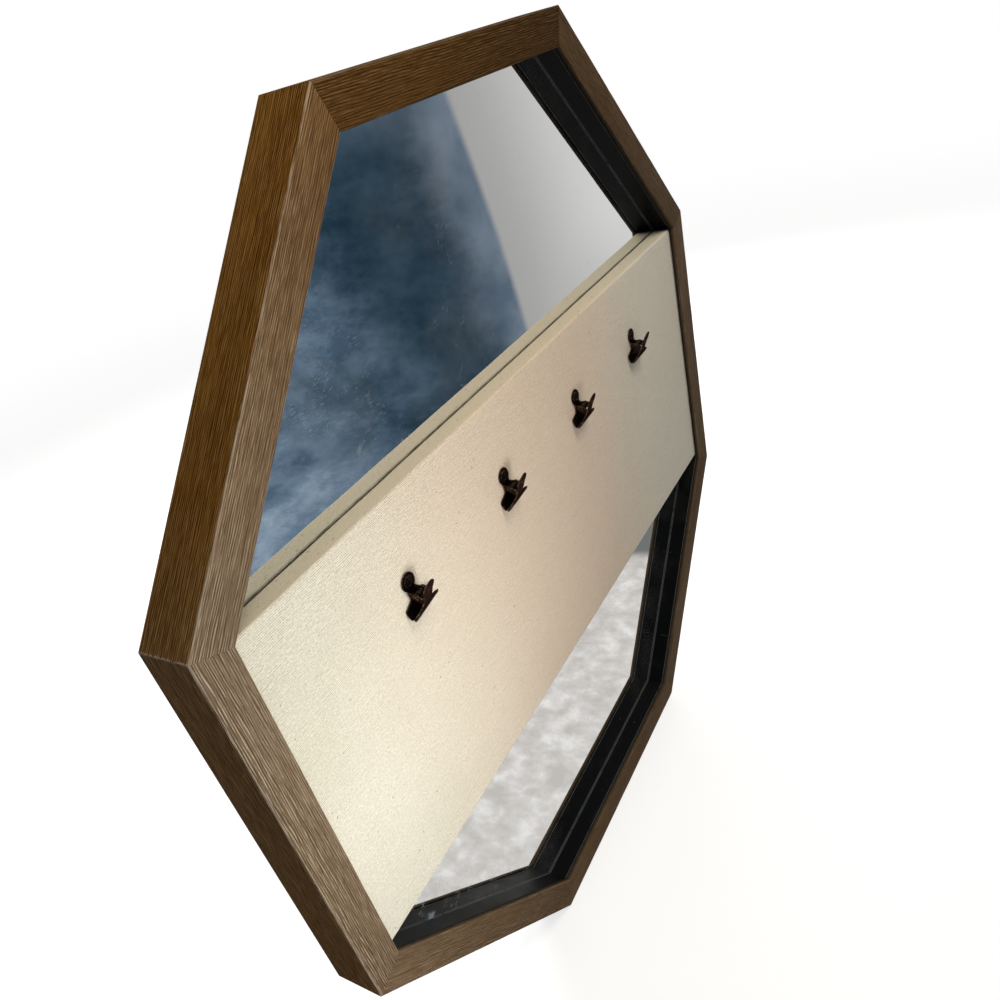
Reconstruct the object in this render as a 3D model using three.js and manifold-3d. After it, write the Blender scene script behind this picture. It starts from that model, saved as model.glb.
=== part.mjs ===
// An octagonal wall mirror with a linen covered board across its middle and four spring clips on the board.
//
// Eight mitred wooden rails make a deep frame. Each rail has a lip at the front, a black liner strip
// behind the lip, and a rabbet at the back that holds the mirror glass and its backing panel. The linen
// board stands between the lip and the glass. Each clip hangs on a brad through the tab of its back leaf.
//
// Millimetres, +X to the viewer's right, +Z up, and the front faces -Y. The wall is the plane y = 0,
// and the origin is the notch of the hanger that sits on the wall nail.

import * as THREE from 'three';
import { mergeVertices } from 'three/addons/utils/BufferGeometryUtils.js';
import Module from 'manifold-3d';

const wasm = await Module();
wasm.setup();

// ---------------------------------------------------------------- clearances
const CONTACT_GAP = 0.3; // between pieces that touch or are pressed together
const RUNNING_CLEARANCE = 0.3; // all round a shank or pin in its hole

// ---------------------------------------------------------------- frame rails
const FRAME_ACROSS_FLATS = 610;
const RAIL_NAMES = [
  'top', 'upper_right', 'right', 'lower_right', 'bottom', 'lower_left', 'left', 'upper_left',
];
const RAIL_FACE_WIDTH = 22.6;
const RAIL_DEPTH = 32;
const RAIL_CHAMFER = 0.7; // on the two long arrises of the face
const LIP_DEPTH = 4.2; // wood that shows on the inner wall, from the face back
const LIP_OVERHANG = 0.8; // the lip stands this far inside the liner
const RABBET_WIDTH = 6; // shoulder that the glass rests on

// ---------------------------------------------------------------- liner, glass and backing
const LINER_THICKNESS = 1.5;
const SPACER_DEPTH = 15; // from the lip to the glass: the liner and the board both fill it
const GLASS_THICKNESS = 3;
const GLASS_EDGE_CLEARANCE = 0.5;
const BACKING_THICKNESS = 3;

// ---------------------------------------------------------------- linen board
const BOARD_TOP_INSET = 0.3; // below the frame's upper inner corners
const BOARD_BOTTOM_INSET = 4.2; // above the frame's lower inner corners
const BOARD_EDGE_RADIUS = 2;
const LINEN_THICKNESS = 0.8;
const LINEN_BACK_FLAP = 25;

// ---------------------------------------------------------------- spring clips
const CLIP_TILTS_DEG = [7, 4, 2, 0]; // each clip's lean on its brad, from the left
const CLIP_PITCH = 112.7;
const CLIP_ROW_SHIFT = -1.5; // the row's middle, off the frame's middle
const CLIP_ROW_DROP = 51.3; // the brads, below the board's top edge
const LEAF_THICKNESS = 0.6;
const TAB_RADIUS = 5.8;
const TAB_HOLE_RADIUS = 1.1;
const TAB_RING_RADIUS = 3; // the ring pressed into each tab
const TAB_RING_WIDTH = 1;
const TAB_RING_HEIGHT = 0.35;
const TAB_RING_ROOT = 0.1; // sunk into the sheet so that the ring and the sheet join
const NECK_HALF_WIDTH = 3.8; // of the back leaf
const TAB_TO_PIVOT = 7.5; // from the tab's centre down to the pivot, along the leaf
const PIVOT_TO_BEND = 5.2; // from the pivot down to the line where the jaw bends in
const PIVOT_STANDOFF = 4.7; // from the pivot to each leaf's inner face
const JAW_WIDTH = 22.6;
const JAW_LENGTH = 7.4; // from the bend to the jaw's edge, along the sheet
const JAW_BEND_DEG = 14;
const JAW_FLARE = 2; // the slope from the neck to the jaw
const JAW_CORNER = 1.5;
const EAR_RADIUS = 2.2;
const EAR_SIDE_CLEARANCE = 0.3; // between the two leaves' ears
const PIVOT_PIN_RADIUS = 0.8;
const PIVOT_HEAD_RADIUS = 1.5;
const PIVOT_HEAD_HEIGHT = 0.5;

// ---------------------------------------------------------------- clip spring
const SPRING_WIRE_RADIUS = 0.35;
const SPRING_COIL_RADIUS = 1.8;
const SPRING_TURNS = 4; // counted to the end of the last whole turn
const SPRING_STEPS_PER_TURN = 8;
const SPRING_WIRE_SIDES = 5;

// ---------------------------------------------------------------- brads and other fasteners
const BRAD_RADIUS = 0.7;
const BRAD_LENGTH = 11;
const BRAD_HEAD_RADIUS = 1.6;
const BRAD_HEAD_RIM = 0.3; // height of the head's straight rim
const BRAD_HEAD_DOME = 0.5;

// ---------------------------------------------------------------- back of the frame
const BUMPER_THICKNESS = 2.7;
const BUMPER_RADIUS = 5;
const BUMPER_HALF_SPACING = 95;
const BACK_RIM_LINE = 7; // hanger, bumpers and corner nails sit this far in from the outer face
const HANGER_LENGTH = 64;
const HANGER_HEIGHT = 9;
const HANGER_THICKNESS = 0.8;
const HANGER_BOW = 1.5; // the toothed middle stands off the ends by this much
const HANGER_END = 9; // flat at each end, with the nail hole
const HANGER_RAMP = 3;
const TOOTH_PITCH = 3;
const TOOTH_DEPTH = 1.5;
const TOOTH_TIP = 0.2; // flat between two notches
const HANGER_NAIL_LENGTH = 13;
const CORNER_NAIL_LEG = 5;
const CORNER_NAIL_THICKNESS = 0.6;
const CORNER_NAIL_DEPTH = 10;
const RETAINER_RAILS = ['top', 'upper_right', 'lower_right', 'bottom', 'lower_left', 'upper_left'];
const RETAINER_WIDTH = 9;
const RETAINER_THICKNESS = 0.6;
const RETAINER_IN_WOOD = 6;
const RETAINER_OVER_PANEL = 5;

// ---------------------------------------------------------------- roundness
const DISC_SEGMENTS = 24; // round pieces wider than 5 mm
const PIN_SEGMENTS = 12; // pins, shanks and holes
const EDGE_ARC_STEPS = 4; // rounded edges and corners
const LEAST_RADIUS = 0.1;
const CUT_OVERRUN = 1; // a cut runs past the face it opens by this much

// ---------------------------------------------------------------- derived sizes
const railCount = RAIL_NAMES.length;
const mitreAngle = Math.PI / railCount;
const apothem = FRAME_ACROSS_FLATS / 2;
const linerBackInset = RAIL_FACE_WIDTH - LIP_OVERHANG - LINER_THICKNESS;
const woodWallInset = linerBackInset - CONTACT_GAP;
const rabbetInset = woodWallInset - RABBET_WIDTH;
const glassDepth = LIP_DEPTH + CONTACT_GAP + SPACER_DEPTH + CONTACT_GAP; // glass front, behind the face
const backingDepth = glassDepth + GLASS_THICKNESS + CONTACT_GAP;
const retainerDepth = backingDepth + BACKING_THICKNESS + CONTACT_GAP;
const frameBackY = -(BUMPER_THICKNESS + CONTACT_GAP);
const frontY = frameBackY - RAIL_DEPTH;
const linenFrontY = frontY + LIP_DEPTH + CONTACT_GAP;
const linenBackY = linenFrontY + SPACER_DEPTH;
const linerApothem = apothem - RAIL_FACE_WIDTH + LIP_OVERHANG;
const innerCornerHeight = linerApothem * Math.tan(mitreAngle);
const boardTopZ = innerCornerHeight - BOARD_TOP_INSET;
const boardBottomZ = BOARD_BOTTOM_INSET - innerCornerHeight;
const boardLength = 2 * (linerApothem - CONTACT_GAP);
const rimLineZ = apothem - BACK_RIM_LINE;
const notchZ = rimLineZ - HANGER_HEIGHT / 2 + TOOTH_DEPTH;

// ---------------------------------------------------------------- materials
function surface(color, roughness, metalness = 0) {
  return new THREE.MeshStandardMaterial({ color, roughness, metalness });
}
const oak = () => surface(0x6f5846, 0.6);
const blackLiner = () => surface(0x0b0c0e, 0.3);
const silveredGlass = () => surface(0xc9d2da, 0.04, 1);
const linen = () => surface(0xd8cbb0, 0.95);
const fibreboard = () => surface(0x8a6a4a, 0.9);
const bronze = () => surface(0x2a1c14, 0.42, 0.9);
const springSteel = () => surface(0x3a2c22, 0.35, 1);
const zincSteel = () => surface(0xa8abb0, 0.35, 1);
const feltGrey = () => surface(0x3c3c3e, 0.95);

// ---------------------------------------------------------------- geometry helpers
// A closed geometry as a solid that can be joined and cut.
function solidOf(geometry) {
  const bare = geometry.index ? geometry.toNonIndexed() : geometry.clone();
  bare.deleteAttribute('normal');
  bare.deleteAttribute('uv');
  const merged = mergeVertices(bare, 1e-4);
  return new wasm.Manifold(new wasm.Mesh({
    numProp: 3,
    vertProperties: new Float32Array(merged.attributes.position.array),
    triVerts: new Uint32Array(merged.index.array),
  }));
}

function geometryOf(solid) {
  const mesh = solid.getMesh();
  const position = new Float32Array(mesh.numVert * 3);
  for (let i = 0; i < mesh.numVert; i++) {
    position.set(mesh.vertProperties.subarray(i * mesh.numProp, i * mesh.numProp + 3), i * 3);
  }
  const geometry = new THREE.BufferGeometry();
  geometry.setAttribute('position', new THREE.BufferAttribute(position, 3));
  geometry.setIndex(new THREE.BufferAttribute(new Uint32Array(mesh.triVerts), 1));
  geometry.computeVertexNormals();
  return geometry;
}

function joined(geometries) {
  return geometries.map(solidOf).reduce((sum, next) => sum.add(next));
}

function cut(solid, cutters) {
  return cutters.map(solidOf).reduce((rest, cutter) => rest.subtract(cutter), solid);
}

function shapeOf(points) {
  return new THREE.Shape(points.map(([a, b]) => new THREE.Vector2(a, b)));
}

// A plate whose outline is drawn in X and Z and whose thickness lies along Y, from nearY to farY.
function plateXZ(points, nearY, farY) {
  const geometry = new THREE.ExtrudeGeometry(shapeOf(points), { depth: farY - nearY, bevelEnabled: false });
  return geometry.rotateX(Math.PI / 2).translate(0, farY, 0);
}

// A bar whose section is drawn in Y and Z and which runs along X, from x0 to x1.
function barX(points, x0, x1) {
  const geometry = new THREE.ExtrudeGeometry(shapeOf(points), { depth: x1 - x0, bevelEnabled: false });
  const position = geometry.attributes.position;
  for (let i = 0; i < position.count; i++) {
    position.setXYZ(i, x0 + position.getZ(i), position.getX(i), position.getY(i));
  }
  return geometry;
}

function box(x0, x1, y0, y1, z0, z1) {
  const geometry = new THREE.BoxGeometry(x1 - x0, y1 - y0, z1 - z0);
  return geometry.translate((x0 + x1) / 2, (y0 + y1) / 2, (z0 + z1) / 2);
}

function discY(radius, nearY, farY, segments, x = 0, z = 0) {
  const geometry = new THREE.CylinderGeometry(radius, radius, farY - nearY, segments);
  return geometry.translate(x, (nearY + farY) / 2, z);
}

function rodX(radius, x0, x1, segments, y = 0, z = 0) {
  const geometry = new THREE.CylinderGeometry(radius, radius, x1 - x0, segments);
  return geometry.rotateZ(Math.PI / 2).translate((x0 + x1) / 2, y, z);
}

// Points on an arc, angles in degrees.
function arc(centreA, centreB, radius, fromDeg, toDeg, steps) {
  const points = [];
  for (let i = 0; i <= steps; i++) {
    const angle = THREE.MathUtils.degToRad(fromDeg + (toDeg - fromDeg) * i / steps);
    points.push([centreA + radius * Math.cos(angle), centreB + radius * Math.sin(angle)]);
  }
  return points;
}

// A regular polygon with its flats at the given distance from the centre.
function frameOutline(flatDistance) {
  const radius = flatDistance / Math.cos(mitreAngle);
  const points = [];
  for (let i = 0; i < railCount; i++) {
    const angle = Math.PI / 2 - mitreAngle + i * 2 * mitreAngle;
    points.push([radius * Math.cos(angle), radius * Math.sin(angle)]);
  }
  return points;
}

// ---------------------------------------------------------------- scene graph
const mirror = new THREE.Group();
const frame = new THREE.Group(); // centred on the octagon, with the wall at y = 0
frame.position.set(0, 0, -notchZ);
mirror.add(frame);

function place(parent, name, geometry, material) {
  const mesh = new THREE.Mesh(geometry, material);
  mesh.name = name;
  parent.add(mesh);
  return mesh;
}

// A group turned about the frame's middle, so that what is built for the top rail lands on another rail.
function railGroup(index) {
  const group = new THREE.Group();
  group.rotation.y = index * 2 * mitreAngle;
  frame.add(group);
  return group;
}

// A mitred length built at the top of the frame. The profile's points are [inset from the outer face,
// depth behind the front face], and each end stops half a contact gap short of the mitre plane.
function mitredLength(profile) {
  const geometry = new THREE.ExtrudeGeometry(shapeOf(profile), { depth: 1, bevelEnabled: false });
  const position = geometry.attributes.position;
  const endGap = CONTACT_GAP / 2 / Math.cos(mitreAngle);
  for (let i = 0; i < position.count; i++) {
    const inset = position.getX(i);
    const half = (apothem - inset) * Math.tan(mitreAngle) - endGap;
    const x = position.getZ(i) > 0.5 ? half : -half;
    position.setXYZ(i, x, frontY + position.getY(i), apothem - inset);
  }
  return geometry;
}

// ---------------------------------------------------------------- rails
const railProfile = [
  [0, RAIL_CHAMFER],
  [RAIL_CHAMFER, 0],
  [RAIL_FACE_WIDTH - RAIL_CHAMFER, 0],
  [RAIL_FACE_WIDTH, RAIL_CHAMFER],
  [RAIL_FACE_WIDTH, LIP_DEPTH],
  [woodWallInset, LIP_DEPTH],
  [woodWallInset, glassDepth - CONTACT_GAP],
  [rabbetInset, glassDepth - CONTACT_GAP],
  [rabbetInset, RAIL_DEPTH],
  [0, RAIL_DEPTH],
];

// The outline of a bent corner nail: two legs at right angles, its point towards the outer corner.
function cornerNailOutline(margin) {
  const reach = CORNER_NAIL_LEG * Math.SQRT1_2 + margin;
  const half = (CORNER_NAIL_THICKNESS / 2 + margin) * Math.SQRT2;
  return [[0, half], [-reach, half - reach], [-reach, -half - reach], [0, -half],
    [reach, -half - reach], [reach, half - reach]];
}

// The nail sits across the mitre line, where a line at BACK_RIM_LINE from the outer faces meets it.
function cornerNail(side, margin) {
  const depth = CORNER_NAIL_DEPTH + margin;
  const nail = plateXZ(cornerNailOutline(margin), frameBackY - depth, frameBackY);
  const cornerRadius = (apothem - BACK_RIM_LINE) / Math.cos(mitreAngle);
  return nail.translate(0, 0, cornerRadius).rotateY(side * mitreAngle);
}

const retainerY = frontY + retainerDepth;
function retainer(margin) {
  const rootZ = apothem - rabbetInset + RETAINER_IN_WOOD + margin;
  const half = RETAINER_WIDTH / 2 + margin;
  const shoulderZ = rootZ - RETAINER_WIDTH / 2;
  const endZ = apothem - rabbetInset - RETAINER_OVER_PANEL;
  const outline = [[0, rootZ], [-half, shoulderZ], [-half, endZ], [half, endZ], [half, shoulderZ]];
  return plateXZ(outline, retainerY - margin, retainerY + RETAINER_THICKNESS + margin);
}

const hangerHoleX = HANGER_LENGTH / 2 - HANGER_END / 2;
function hangerNailPocket(x) {
  const tipY = frameBackY + CONTACT_GAP + HANGER_THICKNESS - HANGER_NAIL_LENGTH;
  const radius = BRAD_RADIUS + RUNNING_CLEARANCE;
  return discY(radius, tipY - CONTACT_GAP, frameBackY + CUT_OVERRUN, PIN_SEGMENTS, x, rimLineZ);
}

RAIL_NAMES.forEach((name, index) => {
  const cutters = [cornerNail(-1, CONTACT_GAP), cornerNail(1, CONTACT_GAP)];
  if (RETAINER_RAILS.includes(name)) cutters.push(retainer(CONTACT_GAP));
  if (name === 'top') cutters.push(hangerNailPocket(-hangerHoleX), hangerNailPocket(hangerHoleX));
  const rail = cut(solidOf(mitredLength(railProfile)), cutters);
  const group = railGroup(index);
  place(group, 'rail_' + name, geometryOf(rail), oak());

  const linerFront = LIP_DEPTH + CONTACT_GAP;
  const liner = mitredLength([
    [linerBackInset, linerFront],
    [linerBackInset + LINER_THICKNESS, linerFront],
    [linerBackInset + LINER_THICKNESS, linerFront + SPACER_DEPTH],
    [linerBackInset, linerFront + SPACER_DEPTH],
  ]);
  place(group, 'liner_' + name, liner, blackLiner());

  const next = RAIL_NAMES[(index + 1) % railCount];
  place(group, 'corner_nail_' + name + '_' + next, cornerNail(1, 0), zincSteel());

  if (RETAINER_RAILS.includes(name)) {
    place(group, 'retainer_' + name, retainer(0), zincSteel());
  }
});

// ---------------------------------------------------------------- glass and backing
const panelFlat = apothem - rabbetInset - GLASS_EDGE_CLEARANCE;
const glassFrontY = frontY + glassDepth;
const backingFrontY = frontY + backingDepth;
const glass = plateXZ(frameOutline(panelFlat), glassFrontY, glassFrontY + GLASS_THICKNESS);
place(frame, 'mirror_glass', glass, silveredGlass());
const backing = plateXZ(frameOutline(panelFlat), backingFrontY, backingFrontY + BACKING_THICKNESS);
place(frame, 'backing_panel', backing, fibreboard());

// ---------------------------------------------------------------- linen board
// A rounded rectangle in Y and Z, shrunk by an inset: the corners in the order front bottom, back bottom,
// back top, front top, each as a list of points.
function boardCorners(inset) {
  const radius = Math.max(BOARD_EDGE_RADIUS - inset, LEAST_RADIUS);
  const y0 = linenFrontY + inset + radius;
  const y1 = linenBackY - inset - radius;
  const z0 = boardBottomZ + inset + radius;
  const z1 = boardTopZ - inset - radius;
  return [
    arc(y0, z0, radius, 180, 270, EDGE_ARC_STEPS),
    arc(y1, z0, radius, 270, 360, EDGE_ARC_STEPS),
    arc(y1, z1, radius, 0, 90, EDGE_ARC_STEPS),
    arc(y0, z1, radius, 90, 180, EDGE_ARC_STEPS),
  ];
}

// The cloth goes round the front and both long edges and ends in a flap on the back at each edge.
function linenProfile() {
  const outer = boardCorners(0);
  const inner = boardCorners(LINEN_THICKNESS);
  const insideY = linenBackY - LINEN_THICKNESS;
  const topFlapZ = boardTopZ - LINEN_BACK_FLAP;
  const bottomFlapZ = boardBottomZ + LINEN_BACK_FLAP;
  return [
    [linenBackY, topFlapZ], ...outer[2], ...outer[3], ...outer[0], ...outer[1],
    [linenBackY, bottomFlapZ], [insideY, bottomFlapZ],
    ...inner[1].toReversed(), ...inner[0].toReversed(),
    ...inner[3].toReversed(), ...inner[2].toReversed(),
    [insideY, topFlapZ],
  ];
}

const clipRowZ = boardTopZ - CLIP_ROW_DROP;
const clipCentres = CLIP_TILTS_DEG.map((tilt, i) => {
  const fromMiddle = i - (CLIP_TILTS_DEG.length - 1) / 2;
  return CLIP_ROW_SHIFT + fromMiddle * CLIP_PITCH;
});
const leafBackY = -CONTACT_GAP; // in a clip's own frame, whose origin is on the linen at the brad
const leafInnerY = leafBackY - LEAF_THICKNESS;
const bradSeatY = leafInnerY - CONTACT_GAP;
const bradHoles = clipCentres.map((x) => {
  const endY = linenFrontY + bradSeatY + BRAD_LENGTH + CONTACT_GAP;
  const radius = BRAD_RADIUS + RUNNING_CLEARANCE;
  return discY(radius, linenFrontY - CUT_OVERRUN, endY, PIN_SEGMENTS, x, clipRowZ);
});

const coreInset = LINEN_THICKNESS + CONTACT_GAP;
const coreBlank = barX(boardCorners(coreInset).flat(), -boardLength / 2, boardLength / 2);
place(frame, 'board_core', geometryOf(cut(solidOf(coreBlank), bradHoles)), fibreboard());
const linenBlank = barX(linenProfile(), -boardLength / 2, boardLength / 2);
place(frame, 'linen_cover', geometryOf(cut(solidOf(linenBlank), bradHoles)), linen());

// ---------------------------------------------------------------- spring clips
// A brad standing along Y with its head towards -Y and the head's underside at y = 0.
function bradGeometry(length) {
  const profile = [
    [0, -length],
    [BRAD_RADIUS, -length + 2 * BRAD_RADIUS],
    [BRAD_RADIUS, 0],
    [BRAD_HEAD_RADIUS, 0],
    [BRAD_HEAD_RADIUS, BRAD_HEAD_RIM],
    [BRAD_HEAD_RADIUS * Math.SQRT1_2, BRAD_HEAD_RIM + BRAD_HEAD_DOME * Math.SQRT1_2],
    [0, BRAD_HEAD_RIM + BRAD_HEAD_DOME],
  ];
  const points = profile.map(([r, h]) => new THREE.Vector2(r, h));
  return new THREE.LatheGeometry(points, PIN_SEGMENTS).rotateX(Math.PI);
}

// A ring with a three sided section, standing out of the face at faceY towards the side given.
function pressedRing(faceY, side, z) {
  const half = TAB_RING_WIDTH / 2;
  const profile = [
    [TAB_RING_RADIUS - half, -TAB_RING_ROOT],
    [TAB_RING_RADIUS + half, -TAB_RING_ROOT],
    [TAB_RING_RADIUS, TAB_RING_HEIGHT],
    [TAB_RING_RADIUS - half, -TAB_RING_ROOT],
  ];
  const ring = new THREE.LatheGeometry(profile.map(([r, h]) => new THREE.Vector2(r, h)), DISC_SEGMENTS);
  if (side < 0) ring.rotateX(Math.PI);
  return ring.translate(0, faceY, z);
}

// The bent sheet seen from its edge, in Y and Z: the inner face down to the jaw's edge, and back up the
// outer face. The jaw bends towards the other leaf.
const jawBend = THREE.MathUtils.degToRad(JAW_BEND_DEG);
const jawTipY = PIVOT_STANDOFF - JAW_LENGTH * Math.sin(jawBend);
const jawTipZ = -PIVOT_TO_BEND - JAW_LENGTH * Math.cos(jawBend);
function sheetProfile(side) {
  const topZ = TAB_TO_PIVOT + TAB_RADIUS;
  const outerBendZ = -PIVOT_TO_BEND - LEAF_THICKNESS * Math.tan(jawBend / 2);
  const profile = [
    [PIVOT_STANDOFF, topZ],
    [PIVOT_STANDOFF, -PIVOT_TO_BEND],
    [jawTipY, jawTipZ],
    [jawTipY + LEAF_THICKNESS * Math.cos(jawBend), jawTipZ - LEAF_THICKNESS * Math.sin(jawBend)],
    [PIVOT_STANDOFF + LEAF_THICKNESS, outerBendZ],
    [PIVOT_STANDOFF + LEAF_THICKNESS, topZ],
  ];
  return profile.map(([y, z]) => [side * y, z]);
}

// The leaf's outline seen from the front: a round tab, a neck and a wide jaw with rounded corners.
function leafOutline(neckHalf, nearY, farY) {
  const cornerX = JAW_WIDTH / 2 - JAW_CORNER;
  const upperZ = -PIVOT_TO_BEND - JAW_CORNER;
  const lowerZ = jawTipZ - LEAF_THICKNESS * Math.sin(jawBend) + JAW_CORNER;
  const jaw = [
    [-neckHalf, -PIVOT_TO_BEND + JAW_FLARE],
    ...arc(-cornerX, upperZ, JAW_CORNER, 90, 180, EDGE_ARC_STEPS),
    ...arc(-cornerX, lowerZ, JAW_CORNER, 180, 270, EDGE_ARC_STEPS),
    ...arc(cornerX, lowerZ, JAW_CORNER, 270, 360, EDGE_ARC_STEPS),
    ...arc(cornerX, upperZ, JAW_CORNER, 0, 90, EDGE_ARC_STEPS),
    [neckHalf, -PIVOT_TO_BEND + JAW_FLARE],
  ];
  return joined([
    discY(TAB_RADIUS, nearY, farY, DISC_SEGMENTS, 0, TAB_TO_PIVOT),
    box(-neckHalf, neckHalf, nearY, farY, -PIVOT_TO_BEND, TAB_TO_PIVOT),
    plateXZ(jaw, nearY, farY),
  ]);
}

// A leaf in the pivot's frame. side is +1 for the leaf on the board and -1 for the front leaf.
// The tab is above the pivot and the jaw below it, and the ears reach back round the pivot pin.
function leafSolid(side, neckHalf) {
  const reach = side * (PIVOT_STANDOFF + 2 * LEAF_THICKNESS);
  const nearY = Math.min(0, reach);
  const farY = Math.max(0, reach);
  const sheet = solidOf(barX(sheetProfile(side), -JAW_WIDTH, JAW_WIDTH));
  const earRootY = PIVOT_STANDOFF + LEAF_THICKNESS / 2;
  const earEnd = arc(0, 0, EAR_RADIUS, -90, -270, 2 * EDGE_ARC_STEPS);
  const earProfile = [[earRootY, -EAR_RADIUS], ...earEnd, [earRootY, EAR_RADIUS]];
  const ear = (x) => barX(earProfile.map(([y, z]) => [side * y, z]), x, x + LEAF_THICKNESS);
  const ears = joined([
    ear(-neckHalf),
    ear(neckHalf - LEAF_THICKNESS),
    pressedRing(side * PIVOT_STANDOFF, -side, TAB_TO_PIVOT),
  ]);
  const bore = rodX(PIVOT_PIN_RADIUS + RUNNING_CLEARANCE, -JAW_WIDTH, JAW_WIDTH, PIN_SEGMENTS);
  const hole = discY(TAB_HOLE_RADIUS, nearY, farY, PIN_SEGMENTS, 0, TAB_TO_PIVOT);
  return cut(sheet.intersect(leafOutline(neckHalf, nearY, farY)).add(ears), [bore, hole]);
}

// The angle between the leaves, at which the jaws' inner edges come within a contact gap of each other.
const jawPhase = Math.atan2(jawTipY, -jawTipZ);
const jawRadius = Math.hypot(jawTipY, jawTipZ);
const leafAngle = jawPhase + Math.asin((jawTipY - CONTACT_GAP) / jawRadius);

// The wire's centre line: a leg on the front leaf, the coil round the pin, and a leg on the back leaf.
// The coil fits between the back leaf's ears, and the legs end short of the rings on the tabs.
function springPath() {
  const halfWidth = NECK_HALF_WIDTH - LEAF_THICKNESS - CONTACT_GAP - SPRING_WIRE_RADIUS;
  const legLength = TAB_TO_PIVOT - TAB_RING_RADIUS - TAB_RING_WIDTH / 2;
  const legOffset = PIVOT_STANDOFF - SPRING_WIRE_RADIUS - CONTACT_GAP;
  const startAngle = Math.PI + leafAngle;
  const endAngle = SPRING_TURNS * 2 * Math.PI;
  const steps = Math.round(SPRING_STEPS_PER_TURN * (endAngle - startAngle) / (2 * Math.PI));
  const points = [];
  const frontLeg = new THREE.Vector3(-halfWidth, -legOffset, legLength);
  frontLeg.applyAxisAngle(new THREE.Vector3(1, 0, 0), leafAngle);
  points.push(frontLeg);
  for (let i = 0; i <= steps; i++) {
    const angle = startAngle + (endAngle - startAngle) * i / steps;
    const x = -halfWidth + 2 * halfWidth * i / steps;
    const y = SPRING_COIL_RADIUS * Math.cos(angle);
    const z = SPRING_COIL_RADIUS * Math.sin(angle);
    points.push(new THREE.Vector3(x, y, z));
  }
  points.push(new THREE.Vector3(halfWidth, legOffset, legLength));
  return points;
}

// A path of straight lengths through the given points, swept by a ring of sides.
class Polyline extends THREE.Curve {
  constructor(points) {
    super();
    this.points = points;
  }

  getPoint(t, target = new THREE.Vector3()) {
    const last = this.points.length - 1;
    const at = Math.min(Math.floor(t * last), last - 1);
    return target.lerpVectors(this.points[at], this.points[at + 1], t * last - at);
  }

  getPointAt(t, target) {
    return this.getPoint(t, target);
  }

  getTangent(t, target = new THREE.Vector3()) {
    const last = this.points.length - 1;
    const at = Math.round(t * last);
    const before = this.points[Math.max(at - 1, 0)];
    const after = this.points[Math.min(at + 1, last)];
    return target.subVectors(after, before).normalize();
  }

  getTangentAt(t, target) {
    return this.getTangent(t, target);
  }
}

function wire(points, radius, sides) {
  const section = [];
  for (let i = 0; i < sides; i++) {
    const angle = i * 2 * Math.PI / sides;
    section.push([radius * Math.cos(angle), radius * Math.sin(angle)]);
  }
  const path = new Polyline(points);
  return new THREE.ExtrudeGeometry(shapeOf(section), { steps: points.length - 1, extrudePath: path });
}

// The least distance between lengths of the wire that are not next to each other, less the wire itself.
function leastGap(points, radius) {
  const samples = [];
  const samplesPerLength = 6;
  const farAlong = 8 * radius;
  for (let i = 0; i < points.length - 1; i++) {
    for (let k = 0; k < samplesPerLength; k++) {
      samples.push(points[i].clone().lerp(points[i + 1], k / samplesPerLength));
    }
  }
  const along = [0];
  for (let i = 1; i < samples.length; i++) {
    along.push(along[i - 1] + samples[i].distanceTo(samples[i - 1]));
  }
  let least = Infinity;
  for (let i = 0; i < samples.length; i++) {
    for (let k = i + 1; k < samples.length; k++) {
      if (along[k] - along[i] > farAlong) {
        least = Math.min(least, samples[i].distanceTo(samples[k]));
      }
    }
  }
  return least - 2 * radius;
}

const springPoints = springPath();
const springGap = leastGap(springPoints, SPRING_WIRE_RADIUS);
console.log('clip spring: least gap between turns ' + springGap.toFixed(2) + ' mm');
console.log('clip leaves: ' + THREE.MathUtils.radToDeg(leafAngle).toFixed(2) + ' degrees apart at rest');

const frontNeckHalf = NECK_HALF_WIDTH + EAR_SIDE_CLEARANCE + LEAF_THICKNESS;
const pinHalf = frontNeckHalf + CONTACT_GAP;
const pin = joined([
  rodX(PIVOT_PIN_RADIUS, -pinHalf - PIVOT_HEAD_HEIGHT / 2, pinHalf + PIVOT_HEAD_HEIGHT / 2, PIN_SEGMENTS),
  rodX(PIVOT_HEAD_RADIUS, -pinHalf - PIVOT_HEAD_HEIGHT, -pinHalf, PIN_SEGMENTS),
  rodX(PIVOT_HEAD_RADIUS, pinHalf, pinHalf + PIVOT_HEAD_HEIGHT, PIN_SEGMENTS),
]);

clipCentres.forEach((x, i) => {
  const name = 'clip_' + (i + 1);
  const clip = new THREE.Group(); // its origin is on the linen, at the brad
  clip.position.set(x, linenFrontY, clipRowZ);
  clip.rotation.y = THREE.MathUtils.degToRad(-CLIP_TILTS_DEG[i]);
  frame.add(clip);

  const brad = place(clip, name + '_brad', bradGeometry(BRAD_LENGTH), bronze());
  brad.position.y = bradSeatY;

  const pivot = new THREE.Group();
  pivot.position.set(0, leafInnerY - PIVOT_STANDOFF, -TAB_TO_PIVOT);
  clip.add(pivot);
  place(pivot, name + '_back_leaf', geometryOf(leafSolid(1, NECK_HALF_WIDTH)), bronze());
  place(pivot, name + '_pivot_pin', geometryOf(pin), bronze());
  place(pivot, name + '_spring', wire(springPoints, SPRING_WIRE_RADIUS, SPRING_WIRE_SIDES), springSteel());

  const lever = place(pivot, name + '_front_leaf', geometryOf(leafSolid(-1, frontNeckHalf)), bronze());
  lever.rotation.x = leafAngle;
});

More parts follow.
